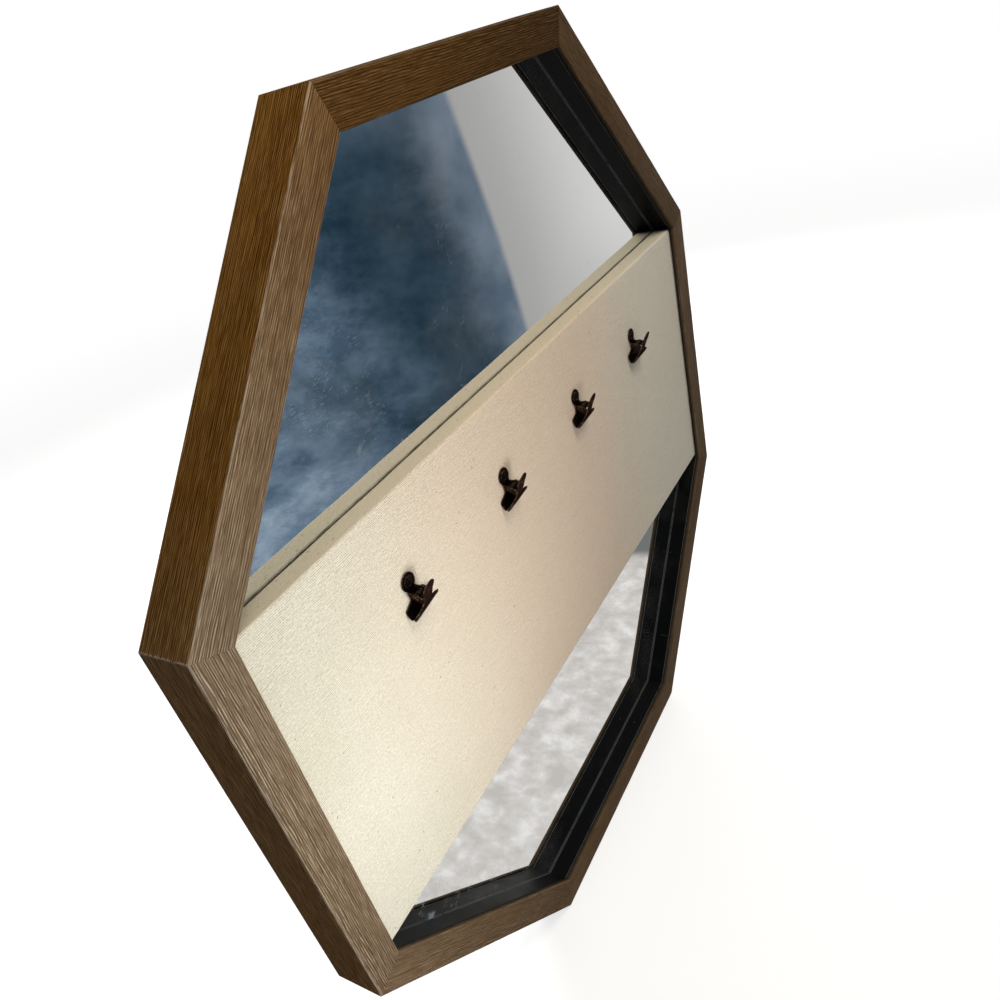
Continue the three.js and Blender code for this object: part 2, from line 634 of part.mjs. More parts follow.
// ---------------------------------------------------------------- hanger and bumpers
const hangerFlatY = frameBackY + CONTACT_GAP;
function hangerProfile() {
  const end = HANGER_LENGTH / 2;
  const flat = end - HANGER_END;
  const bowed = flat - HANGER_RAMP;
  const front = [[-end, 0], [-flat, 0], [-bowed, HANGER_BOW], [bowed, HANGER_BOW], [flat, 0], [end, 0]];
  const back = front.toReversed().map(([x, y]) => [x, y + HANGER_THICKNESS]);
  return [...front, ...back];
}

// One V shaped cutter for each notch, with a notch at the middle and a flat tip between notches.
function notchCutters() {
  const bottomZ = rimLineZ - HANGER_HEIGHT / 2;
  const half = HANGER_LENGTH / 2 - HANGER_END - HANGER_RAMP - TOOTH_PITCH / 2;
  const count = Math.floor(half / TOOTH_PITCH);
  const cutters = [];
  for (let i = -count; i <= count; i++) {
    const x = i * TOOTH_PITCH;
    const reach = TOOTH_PITCH - TOOTH_TIP;
    const outline = [
      [x, bottomZ + TOOTH_DEPTH],
      [x - reach, bottomZ - TOOTH_DEPTH],
      [x + reach, bottomZ - TOOTH_DEPTH],
    ];
    cutters.push(plateXZ(outline, frameBackY - CUT_OVERRUN, CUT_OVERRUN));
  }
  return cutters;
}

const hangerBlank = new THREE.ExtrudeGeometry(shapeOf(hangerProfile()), {
  depth: HANGER_HEIGHT, bevelEnabled: false,
});
hangerBlank.translate(0, hangerFlatY, rimLineZ - HANGER_HEIGHT / 2);
const hangerHoles = [-hangerHoleX, hangerHoleX].map((x) => {
  const radius = BRAD_RADIUS + RUNNING_CLEARANCE;
  return discY(radius, frameBackY - CUT_OVERRUN, CUT_OVERRUN, PIN_SEGMENTS, x, rimLineZ);
});
const hanger = cut(solidOf(hangerBlank), [...hangerHoles, ...notchCutters()]);
place(frame, 'sawtooth_hanger', geometryOf(hanger), zincSteel());

['left', 'right'].forEach((side, i) => {
  const direction = i === 0 ? -1 : 1;
  const nail = place(frame, 'hanger_nail_' + side, bradGeometry(HANGER_NAIL_LENGTH), zincSteel());
  nail.rotation.x = Math.PI;
  nail.position.set(direction * hangerHoleX, hangerFlatY + HANGER_THICKNESS + CONTACT_GAP, rimLineZ);

  const bumperX = direction * BUMPER_HALF_SPACING;
  const bumper = discY(BUMPER_RADIUS, -BUMPER_THICKNESS, 0, DISC_SEGMENTS, bumperX, -rimLineZ);
  place(frame, 'wall_bumper_' + side, bumper, feltGrey());
});

export default mirror;
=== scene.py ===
# %% [markdown]
# # An octagonal mirror with a linen board and four spring clips
#
# The model is a deep wooden frame round a mirror. A board wrapped in linen crosses the middle, and four
# small spring clips hang on it from brads. The solids come from the CAD frame in metres, with the wall at
# y = 0 and the front towards -Y. This lesson gives each solid its finish, and replaces those whose real
# surface is finer than the solid: the rails, the cloth, the clips, the springs, the brads and the felt.

import math

import bmesh
import bpy
from mathutils import Matrix, Vector, geometry, noise


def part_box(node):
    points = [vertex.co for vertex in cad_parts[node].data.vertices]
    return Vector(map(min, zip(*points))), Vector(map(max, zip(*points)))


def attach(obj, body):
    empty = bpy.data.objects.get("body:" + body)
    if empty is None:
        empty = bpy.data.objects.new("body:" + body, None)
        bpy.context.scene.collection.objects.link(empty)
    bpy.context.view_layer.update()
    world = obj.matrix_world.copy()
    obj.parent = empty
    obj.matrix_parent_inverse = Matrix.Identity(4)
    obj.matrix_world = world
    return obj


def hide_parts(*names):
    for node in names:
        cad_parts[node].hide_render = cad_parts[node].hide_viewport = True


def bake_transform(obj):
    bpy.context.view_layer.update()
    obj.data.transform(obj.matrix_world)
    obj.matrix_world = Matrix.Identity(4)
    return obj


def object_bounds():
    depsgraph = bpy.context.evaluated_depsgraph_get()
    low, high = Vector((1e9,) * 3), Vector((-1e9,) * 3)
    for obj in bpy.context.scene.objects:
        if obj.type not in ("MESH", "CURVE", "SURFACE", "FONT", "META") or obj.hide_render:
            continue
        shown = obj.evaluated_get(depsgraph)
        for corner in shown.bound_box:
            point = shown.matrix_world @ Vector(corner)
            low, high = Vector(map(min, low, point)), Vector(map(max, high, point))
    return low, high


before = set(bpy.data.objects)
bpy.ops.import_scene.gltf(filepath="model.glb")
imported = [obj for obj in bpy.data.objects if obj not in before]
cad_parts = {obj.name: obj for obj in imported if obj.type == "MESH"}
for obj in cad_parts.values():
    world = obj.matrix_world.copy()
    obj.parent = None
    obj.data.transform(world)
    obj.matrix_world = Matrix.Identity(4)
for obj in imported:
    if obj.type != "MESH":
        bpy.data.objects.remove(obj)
cad_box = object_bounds()
print("CAD box:", [[round(c, 4) for c in corner] for corner in cad_box])

# %% [markdown]
# ## Camera
#
# The view is from the upper left of the mirror and close to it, about 0.6 m away, so the near rails look
# much larger than the far ones. A camera's axes are the columns of its matrix: right, up and backwards.
# The small shifts stand for a picture that was cropped a little off its centre.

# %% Place the camera
def add_object(name, data):
    """A new object, linked to the scene."""
    piece = bpy.data.objects.new(name, data)
    bpy.context.scene.collection.objects.link(piece)
    return piece


camera_data = bpy.data.cameras.new("camera")
camera_data.sensor_width = 36.0
camera_data.lens = 29.34
camera_data.shift_x = 0.0101
camera_data.shift_y = 0.0412
camera_data.clip_start = 0.02
camera = add_object("camera", camera_data)
looking = Vector((0.66831, 0.52481, -0.52721)).normalized()
upward = Vector((0.56972, 0.09461, 0.81638))
upward = (upward - looking * upward.dot(looking)).normalized()
rightward = looking.cross(upward)
turn = Matrix((rightward, upward, -looking)).transposed()
camera.matrix_world = Matrix.Translation((-0.436, -0.3025, 0.0149)) @ turn.to_4x4()
bpy.context.scene.camera = camera
bpy.context.scene.view_settings.view_transform = "Standard"
print("camera at", tuple(round(c, 3) for c in camera.location))

# %% [markdown]
# ## Writing shader nodes as calls
#
# A material is a small program of nodes. To keep each one readable, this helper adds a node, sets its
# fields, fills or links its inputs and gives back one output, so a tree reads like a sum.


# %% A helper for node trees
class Graph:
    """Adds nodes to one tree. Every call gives back the new node's output socket."""

    def __init__(self, tree):
        self.tree = tree

    def node(self, kind, inputs, output=0, **fields):
        """A new node's output by number or name, or all its outputs where output is None."""
        node = self.tree.nodes.new(kind)
        for name, value in fields.items():
            setattr(node, name, value)
        self.fill(node.inputs, inputs)
        return node.outputs if output is None else node.outputs[output]

    def feed(self, socket, value):
        """Links or sets a socket. A colour is given as red, green and blue."""
        if isinstance(value, bpy.types.NodeSocket):
            self.tree.links.new(value, socket)
        else:
            socket.default_value = (*value, 1.0) if socket.type == "RGBA" else value

    def fill(self, sockets, values):
        for name, value in values.items():
            self.feed(sockets[name], value)

    def math(self, operation, a, b=0.0, c=0.0, clamp=False):
        return self.node("ShaderNodeMath", {0: a, 1: b, 2: c}, operation=operation, use_clamp=clamp)

    def times(self, first, *others):
        for other in others:
            first = self.math("MULTIPLY", first, other)
        return first

    def plus(self, a, b):
        return self.math("ADD", a, b)

    def minus(self, a, b, clamp=False):
        return self.math("SUBTRACT", a, b, clamp=clamp)

    def most(self, first, *others):
        for other in others:
            first = self.math("MAXIMUM", first, other)
        return first

    def line(self, value, slope, offset):
        """value * slope + offset"""
        return self.math("MULTIPLY_ADD", value, slope, offset)

    def between(self, value, low, high):
        """0 below low, 1 above high and a smooth step between them; low may be above high."""
        inputs = {"Value": value, "From Min": low, "From Max": high}
        return self.node("ShaderNodeMapRange", inputs, interpolation_type="SMOOTHSTEP")

    def vectors(self, operation, a, b=(0.0, 0.0, 0.0), output=0):
        return self.node("ShaderNodeVectorMath", {0: a, 1: b}, output, operation=operation)

    def scaled(self, vector, factors):
        return self.vectors("MULTIPLY", vector, factors)

    def moved(self, vector, offset):
        return self.vectors("ADD", vector, offset)

    def length(self, vector):
        return self.vectors("LENGTH", vector, output="Value")

    def parts(self, vector):
        """The X, Y and Z of a vector."""
        return self.node("ShaderNodeSeparateXYZ", {0: vector}, None)

    def place(self):
        """Where a point is on its object, which for finished pieces is where it is in the model."""
        return self.node("ShaderNodeTexCoord", {}, "Object")

    def stored(self, name, output="Fac"):
        """A value that the mesh keeps for each point."""
        return self.node("ShaderNodeAttribute", {}, output, attribute_name=name)

    def seen(self):
        """1 on rays from the eye, direct, mirrored or through glass, and 0 on rays that only carry light."""
        path = self.node("ShaderNodeLightPath", {}, None)
        seen = self.math("ADD", path["Is Camera Ray"], path["Is Glossy Ray"], clamp=True)
        return self.math("ADD", seen, path["Is Transmission Ray"], clamp=True)

    def noise(self, vector, scale=1.0, detail=2.0, roughness=0.5, twist=0.0, output=0):
        inputs = {"Vector": vector, "Scale": scale, "Detail": detail, "Roughness": roughness, "Distortion": twist}
        return self.node("ShaderNodeTexNoise", inputs, output)

    def streaks(self, vector, factors, detail=2.0, roughness=0.5):
        """Noise with a scale of its own along each axis."""
        return self.noise(self.scaled(vector, factors), 1.0, detail, roughness)

    def winding(self, vector, scale, detail, twist, outer, inner):
        """Thin winding lines, where a twisted noise passes its middle value."""
        off_middle = self.math("ABSOLUTE", self.minus(self.noise(vector, scale, detail, twist=twist), 0.5))
        return self.between(off_middle, outer, inner)

    def drifted(self, vector, scale, detail, reach):
        """The same place, pushed about by noise."""
        return self.moved(vector, self.scaled(self.noise(vector, scale, detail, output=1), reach))

    def mix(self, factor, a, b, blend="MIX"):
        return self.node("ShaderNodeMix", {0: factor, 6: a, 7: b}, 2, data_type="RGBA", blend_type=blend)

    def coats(self, color, layers):
        """Lays coats over a colour. Each one is a mask, its strength and its own colour."""
        for mask, strength, coat in layers:
            color = self.mix(self.times(mask, strength), color, coat)
        return color

    def ramp(self, factor, stops):
        node = self.tree.nodes.new("ShaderNodeValToRGB")
        elements = node.color_ramp.elements
        while len(elements) < len(stops):
            elements.new(1.0)
        for element, (place, color) in zip(elements, stops):
            element.position = place
            element.color = (*color, 1.0)
        self.feed(node.inputs[0], factor)
        return node.outputs[0]

    def bump(self, height, distance, strength=1.0):
        return self.node("ShaderNodeBump", {"Height": height, "Distance": distance, "Strength": strength})

    def group(self, tree, inputs):
        return self.node("ShaderNodeGroup", inputs, None, node_tree=tree)


def new_group(name, inputs, outputs, family="Shader"):
    """A node group: its tree, its graph, its input sockets and its output sockets."""
    tree = bpy.data.node_groups.new(name, family + "NodeTree")
    for label, kind, *default in inputs:
        socket = tree.interface.new_socket(label, in_out="INPUT", socket_type="NodeSocket" + kind)
        if default:
            socket.default_value = default[0]
    for label, kind in outputs:
        tree.interface.new_socket(label, in_out="OUTPUT", socket_type="NodeSocket" + kind)
    source = tree.nodes.new("NodeGroupInput")
    sink = tree.nodes.new("NodeGroupOutput")
    return tree, Graph(tree), source.outputs, sink.inputs


def new_material(name):
    material = bpy.data.materials.new(name)
    material.use_nodes = True
    tree = material.node_tree
    return material, Graph(tree), tree.nodes["Principled BSDF"].inputs


# %% [markdown]
# ## Studio
#
# A mirror looks like whatever stands before it, so the studio matters more here than for most objects. The
# floor and the background are pale. A curved card that only reflections can see stands in front of the
# mirror: pale near the floor and at the right, and a mottled dark blue elsewhere. It lights nothing.


# %% Build the floor
def mesh_object(name, vertices, faces, smooth=False):
    mesh = bpy.data.meshes.new(name)
    mesh.from_pydata([tuple(v) for v in vertices], [], faces)
    mesh.update()
    mesh.polygons.foreach_set("use_smooth", [smooth] * len(mesh.polygons))
    return add_object(name, mesh)


def grid_faces(columns, rows):
    """Faces between neighbouring columns of points. Each column has the same number of rows."""
    return [
        (i * rows + k, i * rows + k + 1, (i + 1) * rows + k + 1, (i + 1) * rows + k)
        for i in range(columns)
        for k in range(rows - 1)
    ]


FLOOR_Z = cad_box[0][2] - 0.002
FLOOR_REACH = 12.0
corners = [(-1, -1), (1, -1), (1, 1), (-1, 1)]
floor = mesh_object("floor", [(x * FLOOR_REACH, y * FLOOR_REACH, FLOOR_Z) for x, y in corners], [(0, 1, 2, 3)])
floor_material, g, shader = new_material("pale_floor")
glow = g.line(g.between(g.length(g.place()), 0.8, 3.0), 0.16, 0.72)
g.fill(shader, {
    "Base Color": (0.50, 0.50, 0.50),
    "Roughness": 0.9,
    "Specular IOR Level": 0.1,
    "Emission Color": (1.0, 1.0, 1.0),
    "Emission Strength": g.times(g.seen(), glow),
})
floor.data.materials.append(floor_material)
print("floor at z =", round(FLOOR_Z, 4))

# %% Build the card that the mirror shows
CARD_CENTRE_Y = -0.036
CARD_PROFILE = [(0.0, 0.003), (0.35, 0.003), (0.7, 0.003), (1.0, 0.06), (1.18, 0.25), (1.3, 0.6), (1.3, 1.9)]
CARD_STEPS = 48
card_points = []
for step in range(CARD_STEPS + 1):
    angle = math.radians(-90 + 180 * step / CARD_STEPS)
    for radius, height in CARD_PROFILE:
        card_points.append((radius * math.sin(angle), CARD_CENTRE_Y - radius * math.cos(angle), FLOOR_Z + height))
card_faces = grid_faces(CARD_STEPS, len(CARD_PROFILE))
card = mesh_object("reflected_card", card_points, card_faces, smooth=True)
card_material, g, shader = new_material("mottled_card")
place = g.place()
x, y, z = g.parts(g.moved(place, (0.0, -CARD_CENTRE_Y, 0.0)))
bearing = g.math("ARCTAN2", x, g.times(y, -1.0))
radius = g.math("POWER", g.plus(g.times(x, x), g.times(y, y)), 0.5)
cloud = g.noise(place, 3.6, 6.0, 0.6)
wisp = g.streaks(place, (9.0, 9.0, 14.0), 7.0, 0.70)
past_edge = g.minus(bearing, g.line(z, -0.118, 0.998))
night = g.ramp(wisp, [(0.35, (0.012, 0.030, 0.048)), (0.65, (0.032, 0.060, 0.088))])
sky = g.ramp(g.line(wisp, 0.5, g.times(cloud, 0.5)), [
    (0.40, (0.060, 0.100, 0.150)),
    (0.52, (0.150, 0.215, 0.290)),
    (0.64, (0.340, 0.420, 0.500)),
])
leftness = g.between(g.line(cloud, 0.9, bearing), 1.26, 0.94)
dark = g.mix(leftness, night, sky)
band = g.between(g.line(wisp, 0.05, past_edge), -0.085, 0.022)
band = g.most(band, g.times(g.between(z, -0.19, -0.07), 0.42))
haze = g.ramp(g.streaks(place, (14.0, 14.0, 5.0), 3.0), [
    (0.35, (0.100, 0.138, 0.185)),
    (0.65, (0.185, 0.225, 0.275)),
])
dark = g.mix(band, dark, haze)
paper = g.mix(g.between(past_edge, 0.0, 0.22), (0.400, 0.390, 0.382), (0.700, 0.692, 0.675))
color = g.mix(g.between(past_edge, -0.006, 0.008), dark, paper)
tuft = g.noise(g.scaled(place, (1.0, 0.8, 1.0)), 50.0, 6.0, 0.60, 0.2)
wool = g.ramp(tuft, [
    (0.36, (0.575, 0.540, 0.510)),
    (0.52, (0.690, 0.655, 0.625)),
    (0.66, (0.850, 0.820, 0.785)),
])
is_far = g.between(g.line(cloud, 0.3, radius), 0.50, 0.74)
gloom = g.times(g.between(radius, 0.345, 0.370), g.between(bearing, 1.10, 1.22), g.between(radius, 1.20, 0.80))
g.fill(shader, {
    "Base Color": (0.0, 0.0, 0.0),
    "Specular IOR Level": 0.0,
    "Emission Color": g.mix(gloom, g.mix(is_far, wool, color), (0.170, 0.180, 0.175)),
    "Emission Strength": 1.0,
})
card.data.materials.append(card_material)
for ray in ("camera", "diffuse", "shadow", "transmission", "volume_scatter"):
    setattr(card, "visible_" + ray, False)
print("card:", len(card_faces), "faces, seen by reflections only")

# %% Light the studio
world = bpy.data.worlds.new("studio")
bpy.context.scene.world = world
world.use_nodes = True
g = Graph(world.node_tree)
WORLD_LIGHT = 0.20
g.fill(g.tree.nodes["Background"].inputs, {
    "Color": (1.0, 1.0, 1.0),
    "Strength": g.line(g.seen(), 1.0 - WORLD_LIGHT, WORLD_LIGHT),
})


def soft_lamp(name, place, target, size, spread, power, color):
    data = bpy.data.lights.new(name, "AREA")
    data.shape = "DISK"
    data.size = size
    data.spread = math.radians(spread)
    data.energy = power
    data.color = color
    lamp = add_object(name, data)
    lamp.location = place
    lamp.rotation_euler = (Vector(target) - Vector(place)).to_track_quat("-Z", "Y").to_euler()
    lamp.visible_camera = False
    lamp.visible_glossy = False


soft_lamp("key", (-0.25, -0.42, -0.36), (-0.22, -0.03, -0.30), 0.22, 90, 0.36, (1.0, 0.985, 0.96))
soft_lamp("top", (-0.02, -0.40, 0.45), (0.0, -0.03, -0.2), 0.4, 180, 3.6, (1.0, 0.89, 0.75))
soft_lamp("back", (0.35, 1.10, 0.50), (0.0, 0.0, -0.3), 0.8, 180, 13.0, (1.0, 1.0, 1.0))
soft_lamp("right side", (1.30, 0.30, 0.20), (0.3, 0.0, -0.3), 0.6, 180, 7.0, (1.0, 1.0, 1.0))
print("lamps: key, top, back and right side, world at", WORLD_LIGHT)

# %% [markdown]
# ## Effects that several finishes share
#
# Specks, short scratches and pale edges turn up in more than one finish, so each is a node group with
# named inputs. The pale edges are partly scuffs and partly a painted highlight. A group gives out masks
# between 0 and 1, and each material decides what the mask changes.

# %% Specks: small scattered spots
specks_tree, g, given, result = new_group(
    "specks",
    [("Place", "Vector"), ("Per Metre", "Float", 90.0), ("Size", "Float", 0.12), ("Share", "Float", 0.3)],
    [("Mask", "Float")],
)
warped = g.drifted(given["Place"], 420.0, 1.0, (0.0022, 0.0022, 0.0022))
cell = g.node("ShaderNodeTexVoronoi", {"Vector": warped, "Scale": given["Per Metre"]}, None)
spot = g.minus(1.0, g.math("DIVIDE", cell["Distance"], given["Size"]), clamp=True)
kept = g.math("LESS_THAN", g.parts(cell["Color"])[0], given["Share"])
g.feed(result["Mask"], g.times(g.between(spot, 0.05, 0.5), kept))


def specks(g, place, per_metre, size, share):
    """A material's own specks, as a mask."""
    return g.group(specks_tree, {"Place": place, "Per Metre": per_metre, "Size": size, "Share": share})["Mask"]


# %% Scratches: short thin marks in clusters, along one direction
scratch_tree, g, given, result = new_group(
    "scratches",
    [("Place", "Vector"), ("Stretch", "Vector", (60.0, 60.0, 900.0)), ("Amount", "Float", 0.5)],
    [("Mask", "Float")],
)
lines = g.streaks(given["Place"], given["Stretch"], 1.0)
cluster = g.noise(given["Place"], 28.0)
limit = g.minus(0.80, g.times(given["Amount"], 0.16))
hit = g.between(g.minus(lines, limit), 0.0, 0.035)
g.feed(result["Mask"], g.times(hit, g.between(cluster, 0.5, 0.6)))


def scratches(g, place, stretch, amount):
    """A material's own scratches, as a mask."""
    return g.group(scratch_tree, {"Place": place, "Stretch": stretch, "Amount": amount})["Mask"]


# %% Pale edges, partly scuffs and partly painted highlight: where a rounded normal departs from the flat one
scuff_and_highlight_tree, g, given, result = new_group(
    "scuffed_and_highlit_edges",
    [("Radius", "Float", 0.0003), ("Place", "Vector")],
    [("Mask", "Float")],
)
rounded = g.node("ShaderNodeBevel", {"Radius": given["Radius"]}, samples=6)
flat = g.node("ShaderNodeNewGeometry", {}, "Normal")
agree = g.vectors("DOT_PRODUCT", rounded, flat, "Value")
edge = g.between(agree, 0.99, 0.86)
breaks = g.between(g.noise(given["Place"], 900.0, 3.0, 0.6), 0.38, 0.62)
g.feed(result["Mask"], g.times(edge, breaks))
print("groups:", [tree.name for tree in (specks_tree, scratch_tree, scuff_and_highlight_tree)])

# %% [markdown]
# ## Brushed oak
#
# The rails have a combed grain: fine pale ridges 1.3 mm apart that run the whole length of each rail
# and go over its edges, with dark grooves and short pores between them. Plain noise gives blotches, not
# ridges, so the pattern is a sine wave across the rail whose phase noise pushes about. Each rail stores
# where every point lies along it, across it and in depth, and inset less depth is one continuous measure
# across the face and down the side. Pale raw wood on the arrises and the palest ridges is partly scuffs and
# partly a painted highlight, and the colour also carries painted sheen and shade that differ from rail to rail.

# %% Grain: ridges, grooves, pores and patches of one rail
GRAIN_PITCH = 0.0013
grain_tree, g, given, result = new_group(
    "combed_grain",
    [("Place", "Vector"), ("Pitch", "Float", GRAIN_PITCH), ("Board", "Float", 0.0)],
    [("Ridge", "Float"), ("Groove", "Float"), ("Pore", "Float"), ("Patch", "Float")],
)
along, inset, depth = g.parts(given["Place"])
across = g.minus(inset, depth)
board = given["Board"]


def grain_noise(per_metre_along, per_metre_across, detail, seed):
    """Noise that is long along the rail and short across it, different on each board."""
    vector = g.node("ShaderNodeCombineXYZ", {
        "X": g.times(along, per_metre_along),
        "Y": g.times(across, per_metre_across),
        "Z": g.line(board, 7.31, seed)})
    return g.noise(vector, 1.0, detail, 0.55)


slow = g.times(grain_noise(6.0, 50.0, 2.0, 0.0), 3.0)
quick = g.times(grain_noise(40.0, 420.0, 1.0, 20.0), 1.3)
phase = g.plus(g.math("DIVIDE", across, given["Pitch"]), g.plus(slow, quick))
wave = g.math("SINE", g.times(phase, 2 * math.pi))
dash = g.between(grain_noise(80.0, 760.0, 3.0, 40.0), 0.38, 0.60)
gap = g.between(grain_noise(52.0, 620.0, 3.0, 60.0), 0.38, 0.58)
g.feed(result["Ridge"], g.times(g.between(wave, 0.05, 0.95), dash))
g.feed(result["Groove"], g.times(g.between(wave, -0.05, -0.95), gap))
g.feed(result["Pore"], g.between(grain_noise(150.0, 2300.0, 2.0, 80.0), 0.55, 0.70))
g.feed(result["Patch"], g.between(grain_noise(7.0, 60.0, 3.0, 100.0), 0.3, 0.7))

# %% The oak material
oak, g, shader = new_material("brushed_oak")
place = g.stored("grain_place", "Vector")
scuff_and_highlight, warmth, tone, board, comb = [g.stored(name) for name in ("scuff_and_highlight", "warmth", "tone", "board", "comb")]
grain = g.group(grain_tree, {"Place": place, "Board": board, "Pitch": GRAIN_PITCH})
# Painted sheen: the greyer colour stands in for a pale sheen on the faces, the warmer one is the wood's own brown,
# and the share of each also varies from board to board.
cool = g.mix(grain["Patch"], (0.178, 0.130, 0.084), (0.228, 0.170, 0.114))
warm = g.mix(grain["Patch"], (0.128, 0.055, 0.006), (0.172, 0.080, 0.013))
groove_color = g.mix(warmth, (0.070, 0.044, 0.024), (0.046, 0.017, 0.002))
ridge_color = g.mix(warmth, (0.500, 0.415, 0.305), (0.320, 0.175, 0.055))
_, inset, depth = g.parts(place)
from_arris = g.math("ABSOLUTE", g.minus(g.minus(inset, depth), 0.003))
# The ridges are paler near the outer front arris: partly scuffs, partly a painted glint.
ridge_scuff_and_glint = g.times(g.line(g.between(from_arris, 0.012, 0.001), 0.35, 0.45), comb)
# The pale coat on the front arrises is partly scuffed raw wood and partly a painted highlight.
pale_streaks = g.between(g.streaks(place, (70.0, 600.0, 600.0), 3.0, 0.6), 0.36, 0.60)
color = g.coats(g.mix(warmth, cool, warm), [
    (grain["Groove"], g.times(comb, 0.62), groove_color),
    (grain["Ridge"], ridge_scuff_and_glint, ridge_color),
    (grain["Pore"], 0.55, groove_color),
    (scuff_and_highlight, pale_streaks, (0.46, 0.385, 0.29)),
])
on_wall = g.line(g.between(depth, 0.0008, 0.0030), 0.20, 0.60)
height = g.minus(grain["Ridge"], g.line(grain["Pore"], 0.35, grain["Groove"]))
g.fill(shader, {
    # Tone is partly each board's own tone and partly painted shade, a fall-off of light from rail to rail.
    "Base Color": g.mix(1.0, color, tone, "MULTIPLY"),
    "Roughness": g.line(grain["Ridge"], -0.14, on_wall),
    "Specular IOR Level": 0.03,
    "Normal": g.bump(height, 0.00016, 0.8),
})
print("oak: ridges every", GRAIN_PITCH * 1000, "mm")

# %% [markdown]
# ## Rails
#
# Each rail is one section drawn out along its length and cut at 22.5 degrees at both ends. The section is
# a list of points, inset from the outer face and depth behind the front. It is drawn at many stations, so
# that the two front arrises can carry small dents. A closed mesh made in code keeps full control of the
# places that the grain needs, which a modifier on a plain bar would lose.

# %% The rail's section
ACROSS_FLATS = 0.610
RAIL_FACE = 0.0226
RAIL_DEPTH = 0.032
LIP = 0.0042
WOOD_WALL = 0.0200
RABBET = 0.0140
SHOULDER = 0.0195
ARRIS = 0.0007
HALF_MITRE_GAP = 0.00004
FRONT_Y = -0.035
CENTRE_Z = -0.295
RAIL_NAMES = ["top", "upper_right", "right", "lower_right", "bottom", "lower_left", "left", "upper_left"]
MITRE = math.pi / len(RAIL_NAMES)


def arc_points(centre, radius, start, end, steps):
    """Points on an arc, angles in degrees."""
    points = []
    for i in range(steps + 1):
        angle = math.radians(start + (end - start) * i / steps)
        points.append((centre[0] + radius * math.cos(angle), centre[1] + radius * math.sin(angle)))
    return points


def rail_section():
    """(inset, depth, arris) round the section: arris 1 is the outer front edge, 2 the inner, 3 the lip's back."""
    outer = [(0.0, d, 0) for d in (RAIL_DEPTH, 0.024, 0.016, 0.008, 0.002, ARRIS + 0.0002)]
    first = [(a, b, 1) for a, b in arc_points((ARRIS, ARRIS), ARRIS, 180, 270, 4)]
    face = [(a, 0.0, 0) for a in (ARRIS + 0.0002, 0.002, 0.007, 0.0113, 0.0156, 0.0206, RAIL_FACE - ARRIS - 0.0002)]
    second = [(a, b, 2) for a, b in arc_points((RAIL_FACE - ARRIS, ARRIS), ARRIS, 270, 360, 4)]
    inner = [(RAIL_FACE, ARRIS + 0.0002, 0), (RAIL_FACE, LIP - 0.0005, 0), (RAIL_FACE, LIP, 3)]
    inner += [(WOOD_WALL, LIP, 3), (WOOD_WALL, LIP + 0.0003, 0), (WOOD_WALL, SHOULDER, 0)]
    back = [(RABBET, SHOULDER, 0), (RABBET, RAIL_DEPTH, 0)]
    return outer + first + face + second + inner + back


section = rail_section()
print("section:", len(section), "points")

# %% How each board differs, with painted sheen and shade
# Warmth and tone at the two ends of each rail, which are partly the board's own colour and partly painted
# sheen and shade; how pale its outer and its inner front edge are, partly from scuffs and partly a painted
# highlight; and how strongly the comb shows.
BOARDS = {
    "top": (0.90, 0.95, 0.62, 0.30, 0.20, 0.10, 1.1),
    "upper_right": (0.60, 0.40, 0.48, 0.62, 0.12, 0.08, 0.7),
    "right": (0.35, 0.25, 0.80, 0.80, 0.12, 0.08, 0.6),
    "lower_right": (0.35, 0.45, 0.80, 0.80, 0.12, 0.08, 0.6),
    "bottom": (0.55, 0.55, 0.80, 0.85, 0.12, 0.10, 0.6),
    "lower_left": (0.50, 0.35, 0.80, 0.90, 0.20, 0.12, 0.7),
    "left": (0.25, 0.04, 0.94, 1.08, 0.75, 0.25, 1.2),
    "upper_left": (0.08, 0.75, 1.08, 1.05, 0.60, 0.20, 1.15),
}
# Painted shade: the outer side of a rail is darker than its face, but the two left rails hold their tone.
SIDE_TONE = {"left": 0.98, "upper_left": 1.0}
print("boards:", len(BOARDS))

# %% Draw out the rails
# Shares of a rail's length: closer together at the mitres, even between them.
STATIONS = [0.0, 0.004, 0.008] + [0.016 + 0.968 * i / 84 for i in range(85)] + [0.992, 0.996, 1.0]
RUBBED, WAVY, KNOCKED, KNOCK_LIMIT = 0.00006, 0.00008, 0.00050, 0.44
# Painted light: how much warmer the outer side and how much greyer the lip wall are than the face.
SIDE_WARMTH, LIP_WARMTH = 0.75, -0.4
OPEN_MITRE_WEAR = 0.9
SMALL = 0.0001


def dent(along, index):
    """How deep a front arris is pressed in at this place, in metres."""
    slow = noise.noise(Vector((along * 45.0, index * 7.3, 1.0)))
    sharp = noise.noise(Vector((along * 210.0, index * 5.1, 4.0)))
    return RUBBED + WAVY * slow + KNOCKED * max(0.0, sharp - KNOCK_LIMIT)


